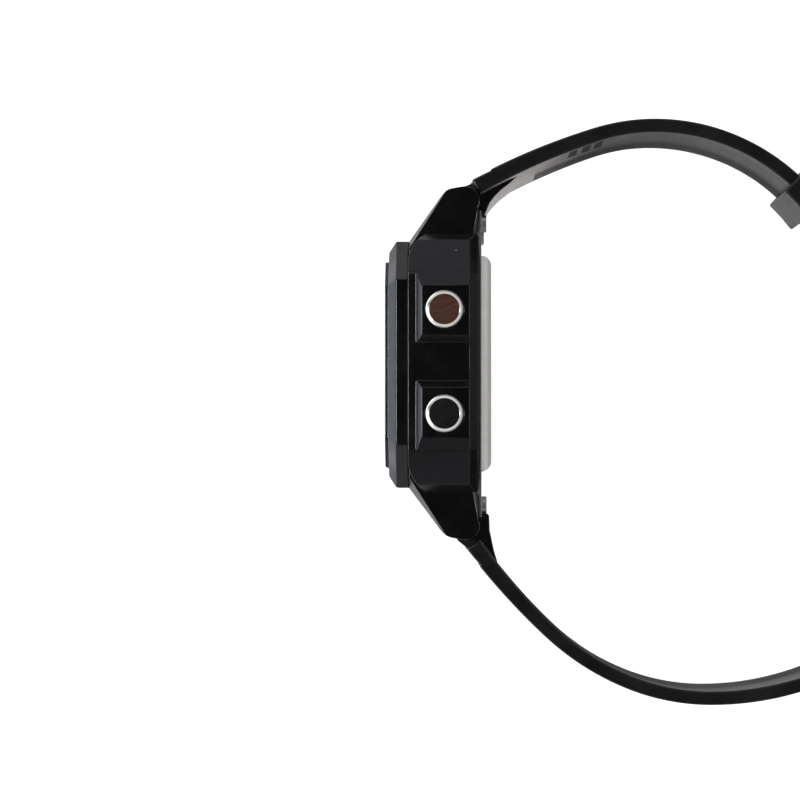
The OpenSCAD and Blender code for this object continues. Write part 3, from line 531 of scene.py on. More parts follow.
@dataclass(frozen=True)
class Finish:
    """A finish of one of the watch's materials; the kinds below say what goes into its shader."""

    name: str
    colour: Colour
    second: Colour
    roughness: float

    def inputs(self, nodes: Nodes) -> dict[str, object]:
        """Gives the inputs of the shader; each kind has its own."""
        raise NotImplementedError

    def paler(self, gain: float, lift: float) -> Colour:
        """Gives the finish's colour where its edges are worn."""
        return tuple(min(1.0, c * gain + lift) for c in self.colour)

    def build(self) -> None:
        """Builds the material."""
        material = MATERIALS[self.name] = bpy.data.materials.new(self.name)
        material.use_nodes = True
        nodes = Nodes(material.node_tree)
        shader = nodes.add("BsdfPrincipled", self.inputs(nodes))
        nodes.add("OutputMaterial", {0: shader.outputs[0]})
        material.diffuse_color = (*self.colour, 1.0)


@dataclass(frozen=True)
class Resin(Finish):
    """Moulded resin or rubber, with a fine grain, slow clouds, polished edges and a little dust."""

    grain_scale: float = 5200.0
    grain_depth: float = 0.0000035
    wear: float = 0.35
    dust: float = 0.97
    # A tint laid on the reflections; other than white, it paints a colour of light into them.
    tint: Colour = (1.0, 1.0, 1.0)
    specular: float = 0.5
    wear_scale: float = 900.0
    wear_pale: Pair = (2.2, 0.012)
    wear_polish: float = 0.12
    dust_scale: float = 430.0
    dust_colour: Colour = (0.12, 0.12, 0.125)
    clouding: Pair = (-0.04, 0.05)

    def inputs(self, nodes: Nodes) -> dict[str, object]:
        """Lays wear and dust over the clouded resin.

        Args:
            nodes: The material's nodes.

        Returns:
            The inputs of the shader.
        """
        skin = nodes.effect("moulded_skin", Scale=self.grain_scale)
        wear = nodes.effect("edge_wear", Scale=self.wear_scale, Amount=self.wear)["Mask"]
        dust = nodes.effect("fine_dust", Scale=self.dust_scale, Rarity=self.dust)["Mask"]
        body = nodes.blend(skin["Cloud"], self.colour, self.second)
        worn = nodes.blend(wear, body, self.paler(*self.wear_pale))
        cloudy = nodes.spread(skin["Cloud"], *(self.roughness + change for change in self.clouding))
        return {"Base Color": nodes.blend(dust, worn, self.dust_colour),
                "Roughness": nodes.math("SUBTRACT", cloudy, nodes.times(wear, self.wear_polish)),
                "Normal": nodes.bump(skin["Grain"], self.grain_depth),
                "Specular Tint": self.tint, "Specular IOR Level": self.specular}


@dataclass(frozen=True)
class Metal(Finish):
    """Brushed or turned metal, whose lines run along one axis of the row, with bright edges."""

    turn: Point = (0.0, 0.0, 0.0)
    line_scale: float = 9000.0
    line_depth: float = 0.000002
    metallic: float = 1.0
    specular: float = 0.5
    wear: Pair = (1500.0, 0.5)
    wear_pale: Pair = (1.25, 0.03)
    patching: Pair = (-0.06, 0.08)
    patch_range: Pair = (0.3, 0.7)

    def inputs(self, nodes: Nodes) -> dict[str, object]:
        """Lays bright edges over the brushed metal.

        Args:
            nodes: The material's nodes.

        Returns:
            The inputs of the shader.
        """
        turn = [math.radians(a) for a in self.turn]
        way = nodes.add("Mapping", {"Vector": nodes.place(), "Rotation": turn}).outputs[0]
        lines = nodes.effect("brushed_lines", Vector=way, Scale=self.line_scale)
        wear = nodes.effect("edge_wear", Scale=self.wear[0], Amount=self.wear[1])["Mask"]
        body = nodes.blend(lines["Lines"], self.colour, self.second)
        rough = (self.roughness + change for change in self.patching)
        return {"Base Color": nodes.blend(wear, body, self.paler(*self.wear_pale)),
                "Roughness": nodes.spread(lines["Patches"], *rough, *self.patch_range),
                "Normal": nodes.bump(lines["Lines"], self.line_depth),
                "Metallic": self.metallic, "Specular IOR Level": self.specular}


@dataclass(frozen=True)
class Glass(Finish):
    """Clear moulded glass or plastic with faint streaks."""

    ior: float = 1.5
    streak_scale: float = 1800.0
    streak_depth: float = 0.000001
    streak_strength: float = 0.4
    streak_rough: float = 0.02

    def inputs(self, nodes: Nodes) -> dict[str, object]:
        """Clouds the clear glass a little.

        Args:
            nodes: The material's nodes.

        Returns:
            The inputs of the shader.
        """
        cloud = nodes.effect("moulded_skin", Scale=self.streak_scale)["Cloud"]
        return {"Base Color": nodes.blend(cloud, self.colour, self.second),
                "Roughness": nodes.spread(cloud, self.roughness, self.roughness + self.streak_rough),
                "Normal": nodes.bump(cloud, self.streak_depth, self.streak_strength),
                "Transmission Weight": 1.0, "IOR": self.ior}


@dataclass(frozen=True)
class Laminate(Finish):
    """The circuit board: solder mask over copper tracks and pads."""

    track_scale: float = 520.0
    track_edge: Ramp = (0.0, 1.0, 0.38, 0.44)
    track_height: float = 0.00002
    pad_size: float = 0.16
    pad_colour: Colour = (0.72, 0.5, 0.2)
    pad_rough: float = 0.3
    shade: Colour = (0.01, 0.05, 0.02)
    shade_share: float = 0.3
    shade_scale: float = 3000.0

    def inputs(self, nodes: Nodes) -> dict[str, object]:
        """Draws the tracks and the pads.

        Args:
            nodes: The material's nodes.

        Returns:
            The inputs of the shader.
        """
        way = {"Vector": nodes.place(), "Scale": self.track_scale}
        cells = nodes.add("TexVoronoi", way, distance="CHEBYCHEV").outputs["Distance"]
        track = nodes.spread(cells, *self.track_edge)
        pads = nodes.math("LESS_THAN", cells, self.pad_size)
        cloud = nodes.effect("moulded_skin", Scale=self.shade_scale)["Cloud"]
        masked = nodes.blend(track, self.colour, self.second)
        shaded = nodes.blend(nodes.times(cloud, self.shade_share), masked, self.shade)
        return {"Base Color": nodes.blend(pads, shaded, self.pad_colour),
                "Roughness": nodes.spread(pads, self.roughness, self.pad_rough),
                "Normal": nodes.bump(track, self.track_height)}


WATCH_FINISHES: tuple[Finish, ...] = (
    # The case resin's reflections are tinted cool, painted in for a cool light from the dial side.
    Resin("case_black_resin", (0.0014, 0.0013, 0.0015), (0.0022, 0.002, 0.0023), 0.22, wear=0.06,
          tint=(0.9, 0.93, 1.0)),
    Resin("strap_black_resin", (0.0048, 0.0048, 0.005), (0.0068, 0.0066, 0.0067), 0.3,
          grain_scale=4200.0, grain_depth=0.000006, wear=0.3),
    Resin("pad_matt_resin", (0.018, 0.017, 0.016), (0.026, 0.025, 0.023), 0.7,
          grain_scale=4200.0, grain_depth=0.00002, wear=0.0, specular=0.3),
    Resin("buckle_black_resin", (0.005, 0.005, 0.0055), (0.0075, 0.0075, 0.008), 0.26, wear=0.5),
    Resin("seal_rubber", (0.012, 0.012, 0.012), (0.022, 0.021, 0.02), 0.65, grain_depth=0.00001, wear=0.1),
    Resin("contact_rubber", (0.32, 0.3, 0.28), (0.05, 0.05, 0.05), 0.6, grain_scale=9000.0),
    Metal("brushed_back_steel", (0.88, 0.865, 0.845), (0.8, 0.785, 0.765), 0.5, metallic=0.3),
    # The back plate's rim gets this steel, much darker than the steel of the plate's face.
    Metal("dark_rim_steel", (0.2, 0.185, 0.175), (0.13, 0.12, 0.115), 0.45),
    Metal("screw_steel", (0.5, 0.48, 0.46), (0.38, 0.36, 0.35), 0.38, turn=(0.0, 0.0, 90.0)),
    Metal("turned_button_steel", (0.92, 0.9, 0.875), (0.87, 0.85, 0.825), 0.13, turn=(0.0, 90.0, 0.0),
          metallic=0.85),
    Metal("bronze_button_lacquer", (0.112, 0.047, 0.028), (0.026, 0.009, 0.006), 0.5, turn=(0.0, 0.0, 68.0),
          line_depth=0.000006, metallic=0.1, specular=0.2),
    Metal("black_button_lacquer", (0.006, 0.0046, 0.0044), (0.0032, 0.0025, 0.0025), 0.42,
          turn=(0.0, 0.0, 52.0), line_scale=5200.0, metallic=0.1, specular=0.25),
    Metal("spring_steel", (0.5, 0.49, 0.47), (0.4, 0.39, 0.38), 0.25),
    Metal("spring_brass", (0.75, 0.55, 0.25), (0.6, 0.42, 0.18), 0.3),
    Metal("battery_steel", (0.7, 0.7, 0.68), (0.58, 0.58, 0.57), 0.24, line_scale=2500.0),
    Glass("clear_crystal", (0.97, 0.985, 1.0), (0.95, 0.97, 0.985), 0.012),
    Glass("light_guide_acrylic", (0.9, 0.97, 0.93), (0.84, 0.93, 0.88), 0.18),
    Resin("led_lens", (0.85, 0.72, 0.3), (0.95, 0.85, 0.45), 0.25, wear=0.1),
    Resin("display_mask_print", (0.012, 0.0125, 0.014), (0.018, 0.018, 0.02), 0.4,
          grain_scale=2600.0, wear=0.1),
    Resin("display_line_print", (0.42, 0.47, 0.52), (0.36, 0.41, 0.47), 0.5, wear=0.0),
    Resin("display_glass", (0.27, 0.29, 0.235), (0.3, 0.32, 0.26), 0.22,
          grain_scale=2200.0, grain_depth=0.000001, wear=0.0, dust=0.999),
    Resin("display_digits", (0.018, 0.02, 0.022), (0.026, 0.028, 0.03), 0.3, wear=0.0),
    Resin("module_white_plastic", (0.72, 0.72, 0.69), (0.62, 0.62, 0.6), 0.42, wear=0.2),
    Resin("holder_grey_plastic", (0.035, 0.036, 0.04), (0.05, 0.05, 0.055), 0.45, wear=0.3),
    Laminate("board_laminate", (0.02, 0.13, 0.055), (0.012, 0.085, 0.036), 0.35),
    Resin("chip_resin", (0.01, 0.01, 0.012), (0.016, 0.016, 0.018), 0.3,
          grain_scale=2400.0, grain_depth=0.00001),
    Resin("capacitor_ceramic", (0.42, 0.28, 0.16), (0.34, 0.22, 0.12), 0.5),
)


# Pieces


@dataclass
class Dressing:
    """A node whose own shape is right and that only gets rounded edges and a finish."""

    node: str
    body: str
    slot: str
    look: str
    edge: float
    segments: int = 2
    angle: float = 28
    splits: tuple[float, ...] = ()

    def build(self) -> Workpiece:
        """Copies the node, splits its long faces and rounds its edges.

        Returns:
            The copy, still on the bench.
        """
        piece = Workpiece.from_node(self.node, self.node + "_dressed")
        piece.cut_lines(1, self.splits)
        piece.soften(self.edge, self.segments, self.angle)
        return piece

    def place(self) -> None:
        """Builds the piece and puts it in place of its node."""
        self.build().finish(self.body, self.look, self.slot, (self.node,), flats=True)


@dataclass
class Case:
    """Case shell, bezel, steel back and its screws."""

    body: str = "watch_case"
    shell_edge: float = 0.09
    splits: tuple[float, ...] = (-10.9, -2.7, 2.7, 10.9)
    bezel_edge: float = 0.13
    back_edge: float = 0.12
    screw_edge: float = 0.08
    plate_z: float = 1.28
    level: float = 0.8

    def build(self) -> None:
        """Builds all the pieces of the case."""
        resin, back = ("case_resin", "case_black_resin"), ("back_steel", "brushed_back_steel")
        Dressing("case_shell", self.body, *resin, self.shell_edge, 3, 20, self.splits).place()
        Dressing("bezel", self.body, *resin, self.bezel_edge, 3, 22).place()
        plate = Dressing("case_back", self.body, *back, self.back_edge, 2, 40).build()
        # The plate's rim, its upright faces above plate_z, gets the darker steel.
        plate.paint(back[1], "dark_rim_steel",
                    lambda c, n: c.z > self.plate_z and abs(n.z) < self.level)
        plate.finish(self.body, back[1], back[0], ("case_back",), flats=True)
        screw = ("screw_steel", "screw_steel")
        Dressing("case_back_screws", self.body, *screw, self.screw_edge, 2, 40).place()


@dataclass
class Display:
    """Crystal, printed mask, display glass and its digits."""

    body: str = "watch_case"
    glass_top: float = 9.3
    mask_top: float = 9.85
    crystal_edge: float = 0.22
    panel_edge: float = 0.05
    print_lift: float = 0.002
    print_t: float = 0.02
    frames: tuple[Pair, ...] = ((11.65, 7.15), (12.5, 10.6))
    dash_y: float = 8.35
    dash_l: float = 18.4
    line_w: float = 0.28
    segment_l: float = 2.7
    segment_w: float = 0.62
    tip: Pair = (0.45, 0.08)
    joint: float = 0.55
    gap: float = 2.1
    base_y: float = -0.9
    dots_y: Pair = (0.3, -2.1)
    dot: float = 0.7
    dot_step: float = 1.0
    texts: tuple[tuple[str, float, float], ...] = (("10:58", -10.4, 0.74), ("36", 5.4, 0.5))

    def build(self) -> None:
        """Builds the crystal, the mask with its lines, and the glass with its digits."""
        Dressing("crystal", self.body, "crystal_glass", "clear_crystal", self.crystal_edge, 3).place()
        Dressing("display_mask", self.body, "mask_print", "display_mask_print", self.panel_edge).place()
        Dressing("lcd_panel", self.body, "lcd_glass", "display_glass", self.panel_edge).place()
        lines, outer = (self._line_frame("mask_lines", half) for half in self.frames)
        lines.join(outer)
        for y in (self.dash_y, -self.dash_y):
            lines.join(self._bar((0.0, y), (self.dash_l, self.line_w), self.mask_top))
        lines.finish(self.body, "display_line_print", "mask_print")
        self._digits().finish(self.body, "display_digits", "lcd_glass")

    def _line_frame(self, name: str, half: Pair) -> Workpiece:
        """Makes a thin printed frame on the mask.

        Args:
            name: The name of the new piece.
            half: Half its width and half its length.

        Returns:
            The frame.
        """
        Workpiece.clear()
        bpy.ops.mesh.primitive_plane_add(size=2, location=(0, 0, self.mask_top + self.print_t))
        bpy.context.object.scale = (*half, 1)
        line = Workpiece.from_active(name)
        line.alter(bpy.ops.mesh.inset, thickness=self.line_w, depth=0)
        line.alter(bpy.ops.mesh.delete, lambda c, n: c.xy.length < self.line_w, type="FACE")
        line.modify("SOLIDIFY", thickness=self.print_t - self.print_lift, offset=-1)
        return line

    def _bar(self, centre: Pair, size: Pair, ground: float) -> Workpiece:
        """Prints one straight bar, of a length along x and a width, on a ground of some height."""
        low, high = ([c + sign * s / 2 for c, s in zip(centre, size)] for sign in (-1, 1))
        return Workpiece.block("bar", (*low, ground + self.print_lift), (*high, ground + self.print_t))

    def _segment(self, length: float, width: float) -> Workpiece:
        """Makes one pointed bar of a digit, lying along x at the middle of the bench.

        Args:
            length: Its length without the points.
            width: Its width.

        Returns:
            The bar.
        """
        reach, narrow = self.tip
        bar = self._bar((0.0, 0.0), (length, width), self.glass_top)
        for side in (1, -1):
            bar.press(lambda c, n: n.x * side > FACING, (side * width * reach, 0, 0), (1, narrow, 1))
        return bar

    def _digits(self) -> Workpiece:
        """Sets the time and the small pair beside it.

        Returns:
            All the bars as one piece.
        """
        shapes = {"0": "abcdef", "1": "bc", "3": "abcdg", "5": "acdfg", "6": "acdefg", "8": "abcdefg"}
        bars: list[Workpiece] = []
        for text, x, scale in self.texts:
            length, width = self.segment_l * scale, self.segment_w * scale
            arm = length / 2 + width * self.joint
            base = self.base_y - (1 - scale) * 2 * (self.segment_l / 2 + self.segment_w * self.joint)
            places = {"a": (0, 2 * arm, 0), "g": (0, 0, 0), "d": (0, -2 * arm, 0), "b": (arm, arm, 90),
                      "c": (arm, -arm, 90), "f": (-arm, arm, 90), "e": (-arm, -arm, 90)}
            for sign in text:
                if sign == ":":
                    bars += [self._bar((x, y), (self.dot, self.dot), self.glass_top) for y in self.dots_y]
                    x += self.dot_step
                    continue
                for key in shapes[sign]:
                    px, py, turn = places[key]
                    bars.append(self._segment(length, width))
                    bars[-1].move(Matrix.Rotation(math.radians(turn), 4, "Z"),
                                  Matrix.Translation((x + arm + px, base + py, 0)))
                x += 2 * arm + width * self.gap
        digits = bars[0]
        digits.join(*bars[1:])
        digits.obj.name = digits.obj.data.name = "display_digits"
        digits.fix_normals()
        return digits


@dataclass
class Buttons:
    """The four turned buttons."""

    right_face_x: float = 21.35
    left_face_x: float = 20.9
    face_depth: float = 0.02
    level: float = 0.98
    edge: float = 0.07

    def build(self) -> None:
        """Builds each button with a bright ring and a dark face."""
        ring = "turned_button_steel"
        for side, end, words in corners():
            limit = (self.right_face_x if side is Side.RIGHT else self.left_face_x) - self.face_depth
            node, body = "pusher_" + words, words + "_button"
            piece = Dressing(node, body, "button_steel", ring, self.edge, 2, 30).build()
            piece.paint(ring, "bronze_button_lacquer" if end is End.UPPER else "black_button_lacquer",
                        lambda c, n: c.x * side.value > limit and n.x * side.value > self.level)
            piece.finish(body, ring, "button_steel", (node,), smooth=32, flats=True)


@dataclass
class Route:
    """The outer face of a strap in the plane across its bar, as arcs that turn back to the wrist."""

    start: Pair
    heading: float
    arcs: list[Pair]

    def at(self, s: float) -> Point:
        """Finds the outer face.

        Args:
            s: The distance along the strap.

        Returns:
            y, z and the heading there in degrees.
        """
        y, z = self.start
        heading = self.heading
        for index, (radius, sweep) in enumerate(self.arcs):
            length = math.radians(sweep) * radius
            turn = sweep if s > length and index < len(self.arcs) - 1 else math.degrees(s / radius)
            for angle, sign in ((heading, 1), (heading - turn, -1)):
                y -= sign * radius * math.cos(math.radians(angle))
                z -= sign * radius * math.sin(math.radians(angle))
            heading -= turn
            if turn != sweep or s <= length:
                break
            s -= length
        return y, z, heading

    def place(self, s: float, depth: float) -> Pair:
        """Finds a point under the outer face.

        Args:
            s: The distance along the strap.
            depth: How deep it lies under the outer face.

        Returns:
            y and z.
        """
        y, z, heading = self.at(s)
        angle = math.radians(heading)
        return y - depth * math.cos(angle), z - depth * math.sin(angle)


@dataclass
class Strap:
    """A strap that is shaped flat, x across, y along and z under the outer face, and then bent."""

    node: str
    body: str
    route: Route
    end: End
    length: float
    look: str = "strap_black_resin"
    lug_w: float = 26.0
    narrow_w: float = 18.6
    lug_t: float = 2.15
    narrow_t: float = 1.75
    thin_s: float = 22.0
    edge_zone: float = 4.0
    rim: float = 1.5
    step_s: float = 2.7
    step_run: float = 0.25
    step_h: float = 0.16
    root_h: float = 0.07
    channel_s: float = 8.7
    channel_h: float = 0.52
    channel_slope: float = 1.0
    channel_end: float = 12.0
    groove_s: float = 9.0
    groove_in: float = 2.3
    groove_w: float = 0.7
    groove_h: float = 0.22
    edge: float = 0.3
    fine_edge: float = 0.1
    sharp: float = 35.0
    root_s: float = 5.0
    root_hx: float = 8.84
    root_top: Pair = (0.6, 0.3)
    root_foot: float = 1.3
    root_edge: float = 0.12
    taper_s: tuple[float, ...] = (0, 3, 14, 26, 34, 41)
    taper_share: tuple[float, ...] = (0, 0.06, 0.42, 0.74, 0.9, 1)
    blur_steps: int = 3
    blur_step: float = 0.9
    folds_x: tuple[float, ...] = (2.0, 4.0, 6.0, 8.0, -2.0, -4.0, -6.0, -8.0, 0.0)
    reach: float = 9.0
    reach_x: float = 20.0

    def half_width(self, s: float) -> float:
        """Finds half the width at a distance along the strap, smoothed over the taper's corners.

        Args:
            s: The distance along the strap.

        Returns:
            Half the width.
        """
        total = 0.0
        for step in range(-self.blur_steps, self.blur_steps + 1):
            t = min(max(s + step * self.blur_step, 0.0), self.taper_s[-1])
            spans = list(zip(self.taper_s, self.taper_s[1:], self.taper_share, self.taper_share[1:]))
            low, high, a, b = next(span for span in spans if t <= span[1])
            total += a + (b - a) * (t - low) / (high - low)
        return (self.lug_w - (self.lug_w - self.narrow_w) * total / (2 * self.blur_steps + 1)) / 2

    def thickness(self, s: float) -> float:
        """Gives the thickness at a distance along the strap."""
        return self.narrow_t + (self.lug_t - self.narrow_t) * max(0.0, 1 - s / self.thin_s)

    def zone_stretch(self) -> float:
        """Gives how much wider the flat strap's middle is than the narrow strap's."""
        return (self.lug_w / 2 - self.edge_zone) / (self.narrow_w / 2 - self.edge_zone)

    def channel_stop(self) -> float:
        """Gives where the channel and the grooves end."""
        return self.length - self.channel_end

    def bent(self, flat: Vector) -> Vector:
        """Moves a point of the flat strap to its place on the bench.

        Args:
            flat: The point on the flat strap.

        Returns:
            The point on the bench.
        """
        s = flat.y
        half, full = self.half_width(s), self.lug_w / 2
        zone = full - self.edge_zone
        x = abs(flat.x)
        across = x * (half - self.edge_zone) / zone if x <= zone else half - (full - x)
        y, z = self.route.place(s, -flat.z * (self.thickness(s) / self.lug_t))
        return Vector((math.copysign(across, flat.x), y * self.end.value, z))

    def cutter(self, across: Pair, along: Pair) -> Workpiece:
        """Makes a block that reaches right through the flat strap, between two x and two y."""
        (left, right), (near, far) = sorted(across), along
        return Workpiece.block("cutter", (left, near, -self.reach), (right, far, self.reach))

    def _lowered(self, p: Vector) -> Vector:
        """Lowers a point of the flat strap's outer face before the step.

        Args:
            p: The point.

        Returns:
            Its new place.
        """
        near = 0.01
        if p.z < -near or p.y > self.step_s + near:
            return p
        return p - Vector((0, 0, self.root_h if p.y < near else self.step_h))

    def _outline(self) -> Workpiece:
        """Makes the flat strap's outline, with the low step at the case.

        Returns:
            The flat strap without its rounding.
        """
        half = self.lug_w / 2
        piece = Workpiece.block(self.node + "_dressed", (-half, 0, -self.lug_t), (half, self.length, 0))
        piece.cut_lines(1, (self.step_s, self.step_s + self.step_run))
        piece.bend(self._lowered)
        return piece

    def _hollows(self, piece: Workpiece) -> None:
        """Presses the channel into the underside and the two grooves into the outer face.

        Args:
            piece: The flat strap with its rounded outline.
        """
        inner = self.lug_w / 2 - self.rim
        groove = self.lug_w / 2 - self.groove_in
        stop = self.channel_stop()
        piece.cut_lines(0, [side * x for side in (1, -1) for x in (inner, groove, groove - self.groove_w)])
        piece.cut_lines(1, (self.channel_s, self.groove_s, stop))
        piece.press(lambda c, n: n.z < -FACING and abs(c.x) < inner and self.channel_s < c.y < stop,
                    (0, 0, self.channel_h), ((inner - self.channel_slope) / inner, 1.0, 1.0))
        piece.press(lambda c, n: n.z > FACING and groove - self.groove_w < abs(c.x) < groove
                    and self.groove_s < c.y < stop, (0, 0, -self.groove_h))

    def _root(self) -> Workpiece:
        """Keeps the middle tongue and the lip at the case end of the node.

        Returns:
            The tongue with its bar hole.
        """
        root = Workpiece.from_node(self.node, self.node + "_root")
        if self.end is End.LOWER:
            root.mirror()
        for side in (1, -1):
            root.cut_away((side * self.root_hx, 0, 0), (side, 0, 0))
        y, z, heading = self.route.at(self.root_s)
        along = (0, math.sin(math.radians(heading)), -math.cos(math.radians(heading)))
        root.cut_away((0, y, z), along)
        first, second = self.route.place(*self.root_top), self.route.place(self.root_s, self.root_foot)
        run = Vector((0, second[0] - first[0], second[1] - first[1])).normalized()
        root.cut_away((0, *first), (0, -run.z, run.y))
        root.soften(self.root_edge, 2, self.sharp)
        if self.end is End.LOWER:
            root.mirror()
        return root

    def trim(self, piece: Workpiece) -> None:
        """Cuts the outline of the far end; each strap has its own."""
        raise NotImplementedError

    def details(self, piece: Workpiece) -> None:
        """Adds what only one of the straps has; each strap has its own."""
        raise NotImplementedError

    def build(self) -> None:
        """Shapes the strap flat, rounds its edges, bends it and adds its tongue."""
        piece = self._outline()
        self.trim(piece)
        piece.soften(self.edge, 3, self.sharp)
        self._hollows(piece)
        self.details(piece)
        piece.soften(self.fine_edge, 2, self.sharp)
        piece.cut_lines(0, self.folds_x)
        piece.cut_lines(1, range(1, int(self.length)))
        piece.bend(self.bent)
        if self.end is End.LOWER:
            piece.fix_normals()
        piece.join(self._root())
        piece.finish(self.body, self.look, "strap_resin", (self.node,), flats=True)


@dataclass
class ShortStrap(Strap):
    """The 12 o'clock strap, with three pads inside, keeper notches and the buckle end."""

    root_s: float = 6.2
    channel_end: float = 20.0
    pads_s: tuple[float, ...] = (14.2, 16.1, 17.8)
    pad_l: float = 1.1
    pad_from: float = -2.5
    pad_to: float = 9.9
    pad_h: float = 0.1
    pad_root: float = 0.2
    pad_edge: float = 0.04
    pad_sharp: float = 30.0
    neck_hx: float = 7.6
    neck_l: float = 4.2
    slot_w: float = 2.2
    slot_l: float = 6.8
    end_r: float = 1.45
    bore_r: float = 0.8
    bore_l: float = 40.0
    keeper_s: float = 55.0
    keeper_l: float = 5.0
    notch: float = 0.5

    def trim(self, piece: Workpiece) -> None:
        """Cuts the neck, the keeper's notches, the round end with its bore and the tongue's slot.

        Args:
            piece: The flat strap.
        """
        full, past = self.lug_w / 2, self.length + self.reach
        edge_x = full - (self.narrow_w / 2 - self.neck_hx)
        keeper = (self.keeper_s - self.keeper_l / 2, self.keeper_s + self.keeper_l / 2)
        for side in (1, -1):
            far = side * self.reach_x
            piece.carve(self.cutter((side * edge_x, far), (self.length - self.neck_l, past)))
            piece.carve(self.cutter((side * (full - self.notch), far), keeper))
        stretch = Matrix.Diagonal((1, 1, self.lug_t / self.narrow_t, 1))
        place = Matrix.Translation((0, self.length, -self.lug_t / 2))
        for radius, width, operation in ((self.end_r, 2 * edge_x, "UNION"),
                                         (self.bore_r, self.bore_l, "DIFFERENCE")):
            eye = Workpiece.rod("eye", radius, width, turn=90)
            eye.move(stretch, place)
            piece.carve(eye, operation)
        slot = self.slot_w / 2 * self.zone_stretch()
        piece.carve(self.cutter((-slot, slot), (self.length - self.slot_l, past)))

    def details(self, piece: Workpiece) -> None:
        """Adds the three plain pads inside.

        Args:
            piece: The flat strap, hollowed.
        """
        ground = -self.lug_t + self.channel_h
        piece.obj.data.materials.append(MATERIALS[self.look])
        for s in self.pads_s:
            pad = Workpiece.block("pad", (self.pad_from, s - self.pad_l / 2, ground - self.pad_h),
                                  (self.pad_to, s + self.pad_l / 2, ground + self.pad_root))
            pad.soften(self.pad_edge, 2, self.pad_sharp)
            pad.obj.data.materials.append(MATERIALS["pad_matt_resin"])
            piece.join(pad)


@dataclass
class LongStrap(Strap):
    """The 6 o'clock strap, with its holes and its round tail."""

    first_hole: float = 62.0
    pitch: float = 6.0
    holes: int = 8
    hole_d: float = 2.3
    drill_l: float = 12.0
    tail_l: float = 7.0
    tail_t: float = 40.0

    def trim(self, piece: Workpiece) -> None:
        """Rounds the tail.

        Args:
            piece: The flat strap.
        """
        start = self.length - self.tail_l
        cutter = self.cutter((-self.reach_x, self.reach_x), (start, self.length + self.reach))
        tail = Workpiece.rod("tail", 1.0, self.tail_t, 96)
        tail.move(Matrix.Diagonal((self.lug_w / 2, self.tail_l, 1, 1)), Matrix.Translation((0, start, 0)))
        cutter.carve(tail)
        piece.carve(cutter)

    def details(self, piece: Workpiece) -> None:
        """Cuts the holes.

        Args:
            piece: The flat strap, hollowed.
        """
        stretch = Matrix.Scale(self.zone_stretch(), 4, (1, 0, 0))
        for index in range(self.holes):
            drill = Workpiece.rod("drill", self.hole_d / 2, self.drill_l, 32)
            drill.move(stretch, Matrix.Translation((0, self.first_hole + index * self.pitch, 0)))
            piece.carve(drill)


@dataclass
class Fittings:
    """Keepers, buckle and tongue."""

    keeper_edge: float = 0.28
    buckle_edge: float = 0.35
    tongue_edge: float = 0.16

    def build(self) -> None:
        """Builds the pieces that hold the strap."""
        for node, body, slot, look, edge, angle in (
                ("fixed_keeper", "short_strap", "strap_resin", "strap_black_resin", self.keeper_edge, 35),
                ("free_keeper", "keeper", "strap_resin", "strap_black_resin", self.keeper_edge, 35),
                ("buckle_frame", "buckle", "buckle_resin", "buckle_black_resin", self.buckle_edge, 30),
                ("buckle_tongue", "tongue", "screw_steel", "screw_steel", self.tongue_edge, 30)):
            Dressing(node, body, slot, look, edge, 3, angle).place()


class Module:
    """The pieces inside the case, which keep their own shape and get a finish."""

    def build(self) -> None:
        """Assigns a finish to every node that is still shown."""
        plan = {
            "seal_rubber": ["crystal_gasket", "case_back_gasket"], "light_guide_acrylic": ["light_guide"],
            "led_lens": ["backlight_led"], "contact_rubber": ["contact_strips"],
            "module_white_plastic": ["module_frame"], "board_laminate": ["circuit_board"],
            "chip_resin": ["processor_chip"], "capacitor_ceramic": ["capacitors"],
            "holder_grey_plastic": ["battery_holder"], "battery_steel": ["quartz_can", "battery"],
            "spring_brass": ["battery_contact", "switch_contacts", "piezo_disc"],
            "screw_steel": ["module_screws", "lug_bar_tubes", "lug_bar_pins", "buckle_bar_tube",
                            "buckle_bar_pins"],
            "spring_steel": ["battery_clip", "buzzer_spring", "lug_bar_springs", "buckle_bar_spring"],
        }
        for _, _, words in corners():
            plan["seal_rubber"].append("pusher_o_ring_" + words)
            plan["spring_steel"] += ["pusher_spring_" + words, "pusher_clip_" + words]
        for look, nodes in plan.items():
            for node in nodes:
                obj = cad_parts[node]
                if not obj.material_slots:
                    obj.data.materials.append(MATERIALS[look])
                for holder in obj.material_slots:
                    holder.material = MATERIALS[look]
                LOG.info("%s: finish %s", node, look)


# Studio


